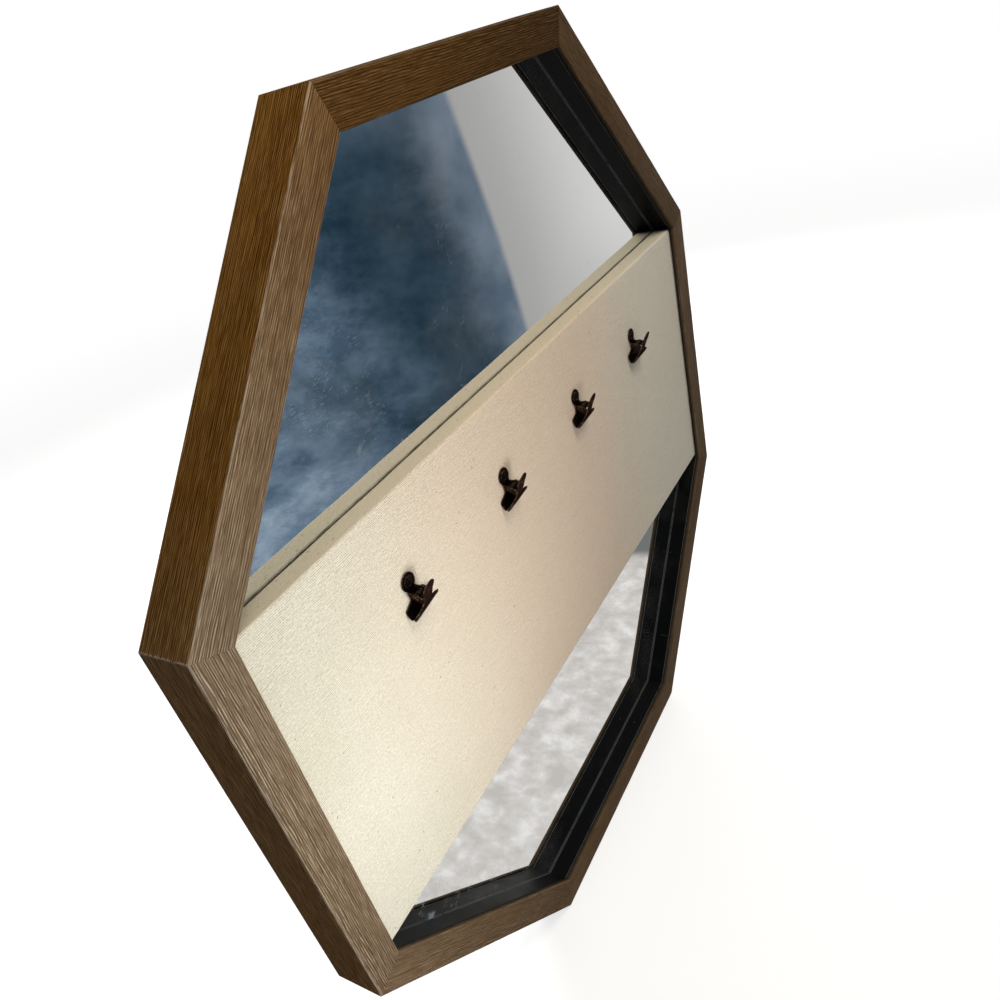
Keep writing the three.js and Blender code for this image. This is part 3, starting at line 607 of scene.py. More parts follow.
def make_rail(index, name):
    apothem = ACROSS_FLATS / 2
    count = len(section)
    turned = Matrix.Rotation(index * 2 * MITRE, 4, "Y")
    warm_start, warm_end, tone_start, tone_end, outer_scuff_and_highlight, inner_scuff_and_highlight, comb = BOARDS[name]
    open_end = {"upper_left": 0.0, "left": 1.0}.get(name, -1.0)
    vertices, rows = [], []
    for t in STATIONS:
        for inset, depth, arris in section:
            half = (apothem - inset) * math.tan(MITRE) - HALF_MITRE_GAP / math.cos(MITRE)
            along = (2 * t - 1) * half
            a, d = inset, depth
            if arris in (1, 2):
                push = dent(along, index + 3.1 * arris)
                d += push
                a += push if arris == 1 else -push
            vertices.append(turned @ Vector((along, FRONT_Y + d, apothem - a)) + Vector((0, 0, CENTRE_Z)))
            on_side = inset < SMALL and depth > 5 * SMALL
            on_lip = arris == 3 or (inset > RAIL_FACE - SMALL and depth > 5 * SMALL)
            # Pale arrises: partly scuffs and partly a painted highlight; an open mitre shows a pale line.
            edge_scuff_and_highlight = OPEN_MITRE_WEAR if on_side and t == open_end else (0.0, outer_scuff_and_highlight, inner_scuff_and_highlight, 0.4)[arris]
            warm = warm_start + (warm_end - warm_start) * t
            # Painted light: the outer side is warmer than the face and the lip wall greyer.
            warm += SIDE_WARMTH if on_side else LIP_WARMTH if on_lip else 0.0
            # Painted shade: the outer side is darker than the face, and the lip wall darker the deeper it goes.
            shade = SIDE_TONE.get(name, 0.85) if on_side else 0.80 - 0.70 * depth / LIP if on_lip else 1.0
            tone = (tone_start + (tone_end - tone_start) * t) * max(0.10, shade)
            ridges = comb * (1.5 if on_side else 1.0)
            rows.append(((along, inset, depth), edge_scuff_and_highlight, min(1.0, max(0.0, warm)), tone, float(index), ridges))
    faces = []
    for station in range(len(STATIONS) - 1):
        for k in range(count):
            low, high = station * count + k, station * count + (k + 1) % count
            faces.append((low, low + count, high + count, high))
    faces.append(tuple(range(count)))
    faces.append(tuple((len(STATIONS) - 1) * count + k for k in reversed(range(count))))
    piece = mesh_object("oak_rail_" + name, vertices, faces)
    mesh = piece.data
    fix_normals(mesh)
    for label, values in zip(("grain_place", "scuff_and_highlight", "warmth", "tone", "board", "comb"), zip(*rows)):
        store(mesh, label, values)
    mesh.materials.append(oak)
    smooth_by_angle(mesh, 35)
    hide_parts("rail_" + name)
    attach(piece, "frame")
    return piece


def store(mesh, name, values):
    """Keeps a number or a vector for each point of the mesh under a name that a material can read."""
    if isinstance(values[0], tuple):
        layer = mesh.attributes.new(name, "FLOAT_VECTOR", "POINT")
        layer.data.foreach_set("vector", [c for value in values for c in value])
    else:
        layer = mesh.attributes.new(name, "FLOAT", "POINT")
        layer.data.foreach_set("value", values)


def fix_normals(mesh):
    """Turns every face outwards."""
    work = bmesh.new()
    work.from_mesh(mesh)
    bmesh.ops.recalc_face_normals(work, faces=work.faces)
    work.to_mesh(mesh)
    work.free()


def smooth_by_angle(mesh, degrees):
    """Smooth faces with sharp edges where two faces meet at more than the angle."""
    mesh.polygons.foreach_set("use_smooth", [True] * len(mesh.polygons))
    mesh.set_sharp_from_angle(angle=math.radians(degrees))


rails = [make_rail(index, name) for index, name in enumerate(RAIL_NAMES)]
print("rails:", len(rails), "with", len(rails[0].data.polygons), "faces each")

# %% [markdown]
# ## Black liner and mirror
#
# The strips behind the lip are a black satin plastic with lint on it, and their cut back edge is a pale
# line where it meets the glass. The mirror is nearly perfect, apart from smudges, dust and small marks:
# those are what tells the eye that there is a surface. Both keep their CAD solids.

# %% The liner material
liner, g, shader = new_material("black_satin")
place = g.place()
y = g.parts(place)[1]
LINER_FRONT_Y, LINER_BACK_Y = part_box("liner_top")[0][1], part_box("liner_top")[1][1]
CUT_EDGE = 0.0007
back_cut = g.between(y, LINER_BACK_Y - CUT_EDGE * 1.3, LINER_BACK_Y - CUT_EDGE * 0.7)
front_cut = g.between(y, LINER_FRONT_Y + CUT_EDGE * 1.3, LINER_FRONT_Y + CUT_EDGE * 0.7)
cut_edge = g.times(g.most(back_cut, front_cut), g.between(g.noise(place, 160.0, 3.0), 0.15, 0.50))
smudge = g.noise(place, 22.0, 4.0, 0.6)
lint = specks(g, place, 85.0, 0.07, 0.22)
marks = scratches(g, place, (500.0, 40.0, 500.0), 0.3)
haze = g.times(g.between(smudge, 0.48, 0.75), 0.05)
dusty = g.most(g.times(lint, 0.6), g.times(marks, 0.25), haze)
color = g.mix(dusty, (0.0038, 0.0044, 0.0042), (0.185, 0.195, 0.185))
g.fill(shader, {
    "Base Color": g.mix(g.times(cut_edge, 0.65), color, (0.165, 0.170, 0.165)),
    "Roughness": g.line(g.between(smudge, 0.4, 0.7), 0.12, 0.36),
    "Specular IOR Level": 0.05,
    "Normal": g.bump(smudge, 0.0002, 0.25),
})

# %% The mirror material
silver, g, shader = new_material("silvered_glass")
place = g.place()
smears = g.between(g.streaks(place, (9.0, 9.0, 5.0), 5.0, 0.65), 0.50, 0.80)
wiped = g.between(g.noise(place, 11.0), 0.48, 0.64)
broken = g.between(g.noise(place, 160.0), 0.42, 0.60)
hairline = g.times(g.winding(place, 34.0, 3.0, 1.6, 0.007, 0.001), broken, wiped, 0.32)
dust = specks(g, place, 210.0, 0.07, 0.10)
dashes = g.streaks(place, (210.0, 60.0, 1900.0), 1.0)
nests = g.between(g.noise(place, 85.0), 0.48, 0.60)
region = g.between(g.line(g.noise(place, 9.0), 0.30, g.parts(place)[0]), 0.05, -0.10)
ticks = g.times(g.between(dashes, 0.57, 0.69), nests, region, 0.7)
GLUE_DAB = (-0.2395, -0.0152, -0.4560)
from_dab = g.scaled(g.moved(place, tuple(-c for c in GLUE_DAB)), (1.0, 1.0, 0.7))
from_dab = g.line(g.noise(place, 260.0, 3.0), 0.006, g.length(from_dab))
dab = g.between(from_dab, 0.0078, 0.0045)
marks = g.most(g.times(dust, 0.5), ticks, hairline, dab)
veil = g.line(smears, 0.05, g.times(wiped, 0.02))
g.fill(shader, {
    "Base Color": g.mix(marks, (0.90, 0.92, 0.93), (0.56, 0.70, 0.82)),
    "Metallic": g.minus(1.0, g.line(marks, 0.30, veil), clamp=True),
    "Roughness": g.line(marks, 0.40, g.line(smears, 0.03, 0.010)),
})

# %% Dress the CAD nodes that keep their shape
def dress(name, material):
    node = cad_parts[name]
    node.data.materials.clear()
    node.data.materials.append(material)


for name in RAIL_NAMES:
    dress("liner_" + name, liner)
dress("mirror_glass", silver)
print("liner and mirror dressed")

# %% [markdown]
# ## Linen
#
# The board is wrapped in a cream ribbed linen: plain weave, with the ribs running along the board. The
# threads come from sums of sines in the cloth's own two directions, which follow the cloth round the
# board's edges, so the pattern never stretches. Slubs, flecks and a faint stain or two keep it natural.
# Its colour also carries painted shade: in the valleys between the threads, as a warm band across the
# middle, on the top of the board and along the gap at the glass, and painted light at the right end.

# %% The linen material
THREAD_UP = 0.00115
LINEN_BACK_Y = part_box("linen_cover")[1][1]
linen, g, shader = new_material("ribbed_linen")
place = g.stored("cloth_place", "Vector")
x, up, _ = g.parts(g.drifted(place, 30.0, 2.0, (0.0016, 0.0016, 0.0)))
waver = g.times(g.streaks(place, (60.0, 500.0, 1.0)), 0.9)
phase = g.times(g.plus(g.math("DIVIDE", up, THREAD_UP), waver), 2 * math.pi)
rib = g.line(g.math("SINE", phase), 0.5, 0.5)
picks = g.streaks(place, (620.0, 900.0, 1.0), 2.0, 0.6)
# Painted shade in the valleys between the ribs.
furrow = g.times(g.between(rib, 0.40, 0.02), g.between(picks, 0.34, 0.58))
slub = g.between(g.streaks(place, (60.0, 1100.0, 1.0), 2.0, 0.6), 0.50, 0.74)
pinholes = g.between(g.streaks(place, (1150.0, 1150.0, 1.0)), 0.60, 0.74)
tone = g.between(g.noise(place, 9.0, 4.0, 0.6), 0.3, 0.7)
# Painted shade: a soft, warm band of shade across the middle of the board.
painted_shade_band = g.line(g.noise(place, 4.0), 0.10, x)
painted_shade_band = g.times(g.between(painted_shade_band, -0.21, 0.02), g.between(painted_shade_band, 0.36, 0.10))
# Painted shade: the cloth over the top of the board is darker and warmer than on its front.
ledge = g.between(up, 0.0400, 0.0375)
nicks = g.between(g.streaks(place, (170.0, 420.0, 1.0)), 0.66, 0.72)
# Painted shade: a ragged dark line along the cloth's back edge, where the board meets the glass.
reach = g.line(g.noise(place, 75.0, 3.0, 0.6), 0.0020, g.parts(g.place())[1])
painted_contact_shade = g.between(reach, LINEN_BACK_Y - 0.0001, LINEN_BACK_Y + 0.0007)
color = g.coats(g.mix(tone, (0.800, 0.780, 0.650), (0.860, 0.840, 0.715)), [
    # Painted shade across the middle of the board, then painted light that makes its right end paler.
    (painted_shade_band, 0.85, (0.835, 0.665, 0.520)),
    (g.between(x, 0.04, 0.24), 1.0, (0.900, 0.870, 0.760)),
    (slub, 0.35, (0.900, 0.865, 0.760)),
    (furrow, 0.75, (0.400, 0.345, 0.240)),
    (pinholes, 0.50, (0.330, 0.285, 0.205)),
    (specks(g, place, 105.0, 0.085, 0.42), 0.62, (0.190, 0.155, 0.120)),
    (specks(g, place, 110.0, 0.16, 0.07), 0.30, (0.400, 0.340, 0.250)),
    (g.between(g.noise(place, 21.0, 3.0, 0.6), 0.64, 0.80), 0.24, (0.450, 0.375, 0.270)),
    # Painted shade on the top of the board.
    (ledge, 0.70, (0.720, 0.650, 0.470)),
    (g.times(nicks, ledge), 0.45, (0.160, 0.115, 0.060)),
    # Painted shade where the board meets the glass.
    (painted_contact_shade, 0.70, (0.270, 0.195, 0.105)),
])
threads = g.minus(g.line(slub, 0.5, rib), g.line(pinholes, 0.5, furrow))
g.fill(shader, {
    "Base Color": color,
    "Roughness": 0.92,
    "Specular IOR Level": 0.2,
    "Sheen Weight": 0.08,
    "Normal": g.bump(threads, 0.00011, 0.8),
})

# %% The path of the cloth round the board
core_low, core_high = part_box("linen_cover")
CLOTH_THICKNESS = 0.0007
FLAP = 0.025
CLOTH_EDGE = 0.002


def cloth_path():
    """Points (y, z, distance) on the cloth's outer face, from the top flap over the front to the lower flap."""
    y0, y1, z0, z1 = core_low[1], core_high[1], core_low[2], core_high[2]
    r = CLOTH_EDGE
    corners = [
        (y1 - r, z1 - r, 0, 90), (y0 + r, z1 - r, 90, 180),
        (y0 + r, z0 + r, 180, 270), (y1 - r, z0 + r, 270, 360)]
    points = [(y1, z1 - FLAP), (y1, z1 - FLAP / 2)]
    for number, (cy, cz, start, end) in enumerate(corners):
        points += arc_points((cy, cz), r, start, end, 6)
        if number == 1:
            points += [(y0, z1 - r - (z1 - z0 - 2 * r) * i / 48) for i in range(1, 48)]
    points += [(y1, z0 + FLAP / 2), (y1, z0 + FLAP)]
    path, distance = [], 0.0
    for number, (y, z) in enumerate(points):
        if number:
            distance += math.dist(points[number - 1], (y, z))
        path.append((y, z, distance))
    return path


path_points = cloth_path()
CLOTH_WIDTH = core_high[0] - core_low[0]

# %% Lay the cloth
CLOTH_COLUMNS = 142
CLOTH_SINK, CLOTH_RIPPLE = 0.00016, 0.00014
NEAR_FACE, NEAR_EDGE = 0.0065, 0.0012
inward = Vector((0.0, (core_low[1] + core_high[1]) / 2, (core_low[2] + core_high[2]) / 2))
cloth_vertices, cloth_place = [], []
for column in range(CLOTH_COLUMNS + 1):
    x = core_low[0] + CLOTH_WIDTH * column / CLOTH_COLUMNS
    for y, z, distance in path_points:
        slow = noise.noise(Vector((x * 28.0, distance * 34.0, 2.0)))
        quick = noise.noise(Vector((x * 90.0, distance * 70.0, 6.0)))
        sink = CLOTH_SINK + CLOTH_RIPPLE * (slow + 0.5 * quick)
        toward = Vector((0.0, math.copysign(1.0, inward.y - y) * (abs(y - inward.y) > NEAR_FACE), 0.0))
        if abs(z - inward.z) > (core_high[2] - core_low[2]) / 2 - NEAR_EDGE:
            toward = Vector((0.0, 0.0, math.copysign(1.0, inward.z - z)))
        cloth_vertices.append(Vector((x, y, z)) + toward * sink)
        cloth_place.append((x, distance, 0.0))
cloth_faces = grid_faces(CLOTH_COLUMNS, len(path_points))
cloth = mesh_object("linen_cloth", cloth_vertices, cloth_faces, smooth=True)
front = max(cloth.data.polygons, key=lambda face: -face.center.y)
if front.normal.y > 0:
    cloth.data.flip_normals()
store(cloth.data, "cloth_place", cloth_place)
cloth.data.materials.append(linen)
solidify = cloth.modifiers.new("thickness", "SOLIDIFY")
solidify.thickness = CLOTH_THICKNESS
solidify.offset = -1.0
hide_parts("linen_cover")
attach(cloth, "frame")
print("cloth:", len(cloth_faces), "faces")

# %% [markdown]
# ## Clip metal
#
# The clips are thin steel sheet in an antique bronze: nearly black brown, with a soft gloss, and copper
# coloured along the edges, partly scuffed by fingers and partly a painted highlight on the rims. The springs
# are a plainer dark steel.


# %% Bronze, spring steel and zinc
def metal(name, base, edge_tint, scuff_and_highlight_color, roughness, edge_radius, scuff_and_highlight_amount, mottle):
    material, g, shader = new_material(name)
    place = g.place()
    edge_scuff_and_highlight = g.group(scuff_and_highlight_tree, {"Place": place, "Radius": edge_radius})["Mask"]
    marks = scratches(g, place, (1500.0, 1500.0, 240.0), 0.7)
    # Pale edges and scratches: partly scuffs, and on the edges partly a painted highlight.
    scuffs_scratches_and_highlight = g.times(g.most(edge_scuff_and_highlight, g.times(marks, 0.5)), scuff_and_highlight_amount)
    cloud = g.between(g.noise(place, mottle, 3.0, 0.6), 0.3, 0.7)
    dark = tuple(c * 0.72 for c in base)
    g.fill(shader, {
        "Base Color": g.mix(scuffs_scratches_and_highlight, g.mix(cloud, dark, base), scuff_and_highlight_color),
        "Metallic": 0.9,
        "Specular Tint": edge_tint,
        "Roughness": g.line(cloud, 0.14, roughness),
        "Normal": g.bump(g.noise(place, 1400.0), 0.00004, 0.35),
    })
    return material


# The bronze's pale edge colour is partly scuffed metal and partly a painted highlight on the rims.
bronze = metal(
    "antique_bronze", (0.038, 0.022, 0.016), (0.36, 0.23, 0.16), (0.66, 0.47, 0.33), 0.34, 0.00060, 0.95, 260.0)
steel = metal(
    "spring_steel", (0.110, 0.080, 0.060), (0.60, 0.50, 0.42), (0.40, 0.34, 0.28), 0.30, 0.00012, 0.4, 300.0)
zinc = metal(
    "zinc_plate", (0.60, 0.61, 0.63), (1.0, 1.0, 1.0), (0.78, 0.78, 0.79), 0.26, 0.00030, 0.5, 120.0)
print("metals:", bronze.name, steel.name, zinc.name)

# %% [markdown]
# ## Clip leaves
#
# Each clip is two leaves stamped from sheet: a round tab to press, a waist, and a wide jaw that bends in
# towards the other leaf. Two ears fold back from the waist and carry the pivot pin. The flat stamping is
# filled from its outline and its hole, cut across where it bends, then folded, thickened and rounded.

# %% Sizes of a clip, in metres
SHEET = 0.0006
TAB_RADIUS = 0.0058
TAB_HOLE = 0.0011
RING_RADIUS = 0.0030
RING_WIDTH = 0.0010
RING_HEIGHT = 0.00045
TAB_TO_PIVOT = 0.0075
PIVOT_TO_BEND = 0.0052
STANDOFF = 0.0047
JAW_WIDTH = 0.0226
JAW_LENGTH = 0.0074
JAW_BEND = math.radians(14)
JAW_FLARE = 0.002
JAW_CORNER = 0.0015
BACK_ARCH = 0.00040
FRONT_ARCH = 0.0011
FRONT_CURL = 0.00024
EAR_RADIUS = 0.0022
BACK_NECK = 0.0038
FRONT_NECK = BACK_NECK + 0.0003 + SHEET
BEND_LENGTH = 0.0016
PIN_RADIUS = 0.0008
PIN_HEAD = 0.0015
PIN_RISE = 0.0005
PIN_DOME = [(1.0, 0.0), (0.96, 0.00028), (0.7, 0.00046)]
CONTACT = 0.0003


# %% Stamp and fold one leaf
def stamping_outline(neck):
    """The leaf laid flat: x across it, and s up from the pivot."""
    meet = math.degrees(math.asin(neck / TAB_RADIUS))
    tab = arc_points((0.0, TAB_TO_PIVOT), TAB_RADIUS, -90 + meet, 270 - meet, 40)
    corner_x = JAW_WIDTH / 2 - JAW_CORNER
    upper = -PIVOT_TO_BEND - JAW_CORNER
    lower = -PIVOT_TO_BEND - JAW_LENGTH + JAW_CORNER
    flare = -PIVOT_TO_BEND + JAW_FLARE
    left = [(-neck, flare)] + arc_points((-corner_x, upper), JAW_CORNER, 100, 180, 5)
    left += arc_points((-corner_x, lower), JAW_CORNER, 180, 270, 6)
    right = [(-x, s) for x, s in reversed(left)]
    return tab + left + right


def folded(s, arch=0.0, curl=0.0):
    """(distance from the pivot plane, height) at s on the inner face; the jaw arches out and curls in at its tip."""
    start = PIVOT_TO_BEND - BEND_LENGTH / 2
    past = -s - start
    if past <= 0:
        return STANDOFF, s
    y, z, steps = STANDOFF, -start, 24
    for i in range(steps):
        angle = JAW_BEND * min(1.0, past * (i + 0.5) / steps / BEND_LENGTH)
        y -= math.sin(angle) * past / steps
        z -= math.cos(angle) * past / steps
    share = min(1.0, past / (JAW_LENGTH + BEND_LENGTH / 2))
    return y + arch * math.sin(math.pi * share) - curl * max(0.0, share * 4 - 3) ** 2, z


def leaf_sheet(neck, arch, curl):
    """A bmesh of the folded sheet's inner face, with side +1."""
    outline = stamping_outline(neck)
    hole = [(x, s) for x, s in arc_points((0.0, TAB_TO_PIVOT), TAB_HOLE, 0, 345, 23)]
    loops = [[Vector((x, s, 0.0)) for x, s in loop] for loop in (outline, hole)]
    work = bmesh.new()
    points = [work.verts.new(p) for loop in loops for p in loop]
    for triangle in geometry.tessellate_polygon(loops):
        work.faces.new([points[i] for i in triangle])
    cuts = [-PIVOT_TO_BEND + BEND_LENGTH * (i / 6 - 0.5) for i in range(7)]
    cuts += [-PIVOT_TO_BEND - BEND_LENGTH / 2 - (JAW_LENGTH - BEND_LENGTH / 2) * i / 9 for i in range(1, 9)]
    for cut_s in cuts:
        parts = work.verts[:] + work.edges[:] + work.faces[:]
        bmesh.ops.bisect_plane(work, geom=parts, plane_co=(0, cut_s, 0), plane_no=(0, 1, 0))
    for vertex in work.verts:
        y, z = folded(vertex.co.y, arch, curl)
        vertex.co = Vector((vertex.co.x, y, z))
    return work


def add_prism(work, outline, x0, x1):
    """Adds a closed plate to the bmesh: the outline in Y and Z, from x0 to x1."""
    near = [work.verts.new((x0, y, z)) for y, z in outline]
    far = [work.verts.new((x1, y, z)) for y, z in outline]
    work.faces.new(near)
    work.faces.new(far[::-1])
    for i in range(len(outline)):
        k = (i + 1) % len(outline)
        work.faces.new((near[k], near[i], far[i], far[k]))


def add_lathe(work, profile, centre, axis, steps):
    """Adds a closed surface of revolution: profile is (radius, height) with both ends on the axis or closed."""
    turn_to = Vector((0, 0, 1)).rotation_difference(Vector(axis)).to_matrix()
    rings = []
    for radius, height in profile:
        ring = []
        for i in range(steps if radius > 0.0 else 1):
            angle = 2 * math.pi * i / steps
            local = Vector((radius * math.cos(angle), radius * math.sin(angle), height))
            ring.append(work.verts.new(Vector(centre) + turn_to @ local))
        rings.append(ring)
    if len(rings[0]) > 1:
        rings.append(rings[0])
    for low, high in zip(rings, rings[1:]):
        for i in range(steps):
            k = (i + 1) % steps
            loop = [low[i % len(low)], low[k % len(low)], high[k % len(high)], high[i % len(high)]]
            work.faces.new(list(dict.fromkeys(loop)))


# %% Finish a leaf as one mesh
SHEET_ROUNDING = 0.00018
EAR_ROUNDING = 0.00011


def as_mesh(work, name):
    """A bmesh as a mesh. The bmesh is freed."""
    mesh = bpy.data.meshes.new(name)
    work.to_mesh(mesh)
    work.free()
    return mesh


def finished(work, name):
    """A bmesh as an object with outward normals."""
    bmesh.ops.recalc_face_normals(work, faces=work.faces)
    return add_object(name, as_mesh(work, name))


def made_mesh(piece):
    """A new mesh of what the object's modifiers make."""
    graph = bpy.context.evaluated_depsgraph_get()
    return bpy.data.meshes.new_from_object(piece.evaluated_get(graph))


def thicken_and_round(piece, thickness, radius):
    """Gives the object a thickness, if there is one, and rounds its edges. No modifier stays on it."""
    if thickness:
        wall = piece.modifiers.new("wall", "SOLIDIFY")
        wall.thickness = thickness
        wall.offset = -1.0
    edge = piece.modifiers.new("edge", "BEVEL")
    edge.width = radius
    edge.segments = 2
    edge.limit_method = "ANGLE"
    edge.angle_limit = math.radians(40)
    mesh = made_mesh(piece)
    piece.modifiers.clear()
    piece.data = mesh
    return piece


def leaf_mesh(neck, arch, curl):
    """One leaf in the pivot's frame with side +1, as a mesh."""
    work = leaf_sheet(neck, arch, curl)
    bmesh.ops.recalc_face_normals(work, faces=work.faces)
    if sum(face.normal.y for face in work.faces) > 0:
        bmesh.ops.reverse_faces(work, faces=work.faces)
    sheet = thicken_and_round(add_object("sheet", as_mesh(work, "sheet")), SHEET, SHEET_ROUNDING)

    work = bmesh.new()
    root = STANDOFF + SHEET * 0.6
    outline = [(root, -EAR_RADIUS)] + arc_points((0.0, 0.0), EAR_RADIUS, -90, -270, 16) + [(root, EAR_RADIUS)]
    add_prism(work, outline, -neck, -neck + SHEET)
    add_prism(work, outline, neck - SHEET, neck)
    ears = thicken_and_round(finished(work, "ears"), 0.0, EAR_ROUNDING)

    work = bmesh.new()
    bead = [(RING_RADIUS + x, z) for x, z in arc_points((0.0, 0.0), RING_WIDTH / 2, 0, 180, 6)]
    bead = [(r, h * RING_HEIGHT / (RING_WIDTH / 2)) for r, h in bead] + [(RING_RADIUS, -0.0001)]
    add_lathe(work, bead, (0.0, STANDOFF, TAB_TO_PIVOT), (0, -1, 0), 40)
    ring = finished(work, "ring")

    whole = bmesh.new()
    for part in (sheet, ears, ring):
        whole.from_mesh(part.data)
        bpy.data.objects.remove(part)
    return as_mesh(whole, "leaf")


back_leaf_mesh = leaf_mesh(BACK_NECK, BACK_ARCH, 0.0)
front_leaf_mesh = leaf_mesh(FRONT_NECK, FRONT_ARCH, FRONT_CURL)
print("leaf:", len(back_leaf_mesh.polygons), "faces")

# %% [markdown]
# ## Wire by Geometry Nodes
#
# A torsion spring is one wire: a straight leg, a coil round the pin and a second leg. The path is a curve
# of points from a formula, and a small Geometry Nodes tree gives it its round section. The wire's radius
# and the number of sides are inputs of the tree, so the same tree can draw any wire.

# %% The wire tree
WIRE_RADIUS = 0.00035
WIRE_SIDES = 10
wire_tree, g, given, result = new_group(
    "round_wire",
    [("Path", "Geometry"), ("Radius", "Float", WIRE_RADIUS), ("Sides", "Int", WIRE_SIDES), ("Finish", "Material")],
    [("Wire", "Geometry")],
    "Geometry",
)
ring = g.node("GeometryNodeCurvePrimitiveCircle", {"Resolution": given["Sides"], "Radius": given["Radius"]})
tube = g.node("GeometryNodeCurveToMesh", {"Curve": given["Path"], "Profile Curve": ring, "Fill Caps": True})
tube = g.node("GeometryNodeSetShadeSmooth", {"Geometry": tube})
tube = g.node("GeometryNodeRealizeInstances", {"Geometry": tube})
g.feed(result["Wire"], g.node("GeometryNodeSetMaterial", {"Geometry": tube, "Material": given["Finish"]}))


def through_tree(piece, tree, values, name):
    """What a Geometry Nodes tree makes of the object, as a plain mesh object. The object itself is removed."""
    modifier = piece.modifiers.new(tree.name, "NODES")
    modifier.node_group = tree
    for item in tree.interface.items_tree:
        if item.in_out == "INPUT" and item.name in values:
            modifier[item.identifier] = values[item.name]
    mesh = made_mesh(piece)
    bpy.data.objects.remove(piece)
    return add_object(name, mesh)


# %% The spring's path
COIL_RADIUS = 0.0018
COIL_TURNS = 4
jaw_tip = folded(-PIVOT_TO_BEND - JAW_LENGTH)
jaw_reach = math.hypot(*jaw_tip)
LEAF_ANGLE = math.atan2(jaw_tip[0], -jaw_tip[1]) + math.asin((jaw_tip[0] - CONTACT) / jaw_reach)


def spring_path():
    half = BACK_NECK - SHEET - CONTACT - WIRE_RADIUS
    leg = TAB_TO_PIVOT - RING_RADIUS - RING_WIDTH / 2
    offset = STANDOFF - WIRE_RADIUS - CONTACT
    start, end = math.pi + LEAF_ANGLE, COIL_TURNS * 2 * math.pi
    first = Matrix.Rotation(LEAF_ANGLE, 3, "X") @ Vector((-half, -offset, leg))
    points = [first]
    steps = 72
    for i in range(steps + 1):
        angle = start + (end - start) * i / steps
        x = -half + 2 * half * i / steps
        points.append(Vector((x, COIL_RADIUS * math.cos(angle), COIL_RADIUS * math.sin(angle))))
    points.append(Vector((half, offset, leg)))
    return points


print("leaves", round(math.degrees(LEAF_ANGLE), 2), "degrees apart; spring path", len(spring_path()), "points")

# %% Hang the clips
CLIP_TILTS = [7, 4, 2, 0]
LINEN_FRONT = core_low[1]


def place_piece(piece, matrix, material, node, body):
    """Moves the mesh, not the object, so that the object stays at the origin; body is None for a piece attached to
    no body.
    """
    piece.data.transform(matrix)
    piece.data.materials.clear()
    piece.data.materials.append(material)
    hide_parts(node)
    if body:
        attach(piece, body)


def leaf_object(mesh, name):
    piece = add_object(name, mesh.copy())
    smooth_by_angle(piece.data, 32)
    return piece


def pin_object(name):
    work = bmesh.new()
    half = FRONT_NECK + CONTACT
    dome = [(PIN_HEAD * share, half + rise) for share, rise in PIN_DOME]
    low_dome = [(r, -h) for r, h in reversed(dome)]
    shank = [(PIN_RADIUS, -half), (PIN_RADIUS, half)]
    profile = [(0.0, -half - PIN_RISE)] + low_dome + shank + dome + [(0.0, half + PIN_RISE)]
    add_lathe(work, profile, (0, 0, 0), (1, 0, 0), 24)
    piece = finished(work, name)
    smooth_by_angle(piece.data, 40)
    return piece


def spring_object(name):
    curve = bpy.data.curves.new(name, "CURVE")
    curve.dimensions = "3D"
    points = spring_path()
    spline = curve.splines.new("POLY")
    spline.points.add(len(points) - 1)
    for point, place in zip(spline.points, points):
        point.co = (*place, 1.0)
    path = add_object(name + "_path", curve)
    return through_tree(path, wire_tree, {"Radius": WIRE_RADIUS, "Sides": WIRE_SIDES, "Finish": steel}, name)


swap_side = Matrix.Diagonal((1.0, -1.0, 1.0, 1.0))
clip_places = []
for number, tilt in enumerate(CLIP_TILTS, start=1):
    name = f"clip_{number}"
    low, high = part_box(name + "_brad")
    hang = Vector(((low[0] + high[0]) / 2, LINEN_FRONT, (low[2] + high[2]) / 2))
    clip = Matrix.Translation(hang) @ Matrix.Rotation(math.radians(-tilt), 4, "Y")
    clip_places.append(clip)
    pivot = clip @ Matrix.Translation((0.0, -CONTACT - SHEET - STANDOFF, -TAB_TO_PIVOT))
    opened = pivot @ Matrix.Rotation(LEAF_ANGLE, 4, "X")
    back = leaf_object(back_leaf_mesh, name + "_stamped_back")
    place_piece(back, pivot, bronze, name + "_back_leaf", name)
    front = leaf_object(front_leaf_mesh, name + "_stamped_front")
    front.data.transform(swap_side)
    front.data.flip_normals()
    place_piece(front, opened, bronze, name + "_front_leaf", name + "_lever")
    place_piece(pin_object(name + "_rivet"), pivot, bronze, name + "_pivot_pin", name)
    coil = spring_object(name + "_coil")
    place_piece(coil, pivot, steel, name + "_spring", None)
    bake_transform(coil)
print("clips hung:", len(clip_places))

# %% [markdown]
# ## Brads
#
# Four small brads hold the clips. They are one shape in four places, which is what instances are for: one
# brad is turned up in code, and a Geometry Nodes tree puts a copy on each point, turned a little by a
# seeded random angle so that no two heads catch the light alike.

# %% The brad tree
brad_tree, g, given, result = new_group(
    "brads_on_points",
    [("Points", "Geometry"), ("Brad", "Object"), ("Seed", "Int"), ("Finish", "Material")],
    [("Brads", "Geometry")],
    "Geometry",
)
shape = g.node("GeometryNodeObjectInfo", {"Object": given["Brad"]}, "Geometry")
angle = g.node("FunctionNodeRandomValue", {"Max": 6.28, "Seed": given["Seed"]}, 1)
spin = g.node("ShaderNodeCombineXYZ", {"Y": angle})
copies = g.node("GeometryNodeInstanceOnPoints", {"Points": given["Points"], "Instance": shape, "Rotation": spin})
real = g.node("GeometryNodeRealizeInstances", {"Geometry": copies})
g.feed(result["Brads"], g.node("GeometryNodeSetMaterial", {"Geometry": real, "Material": given["Finish"]}))

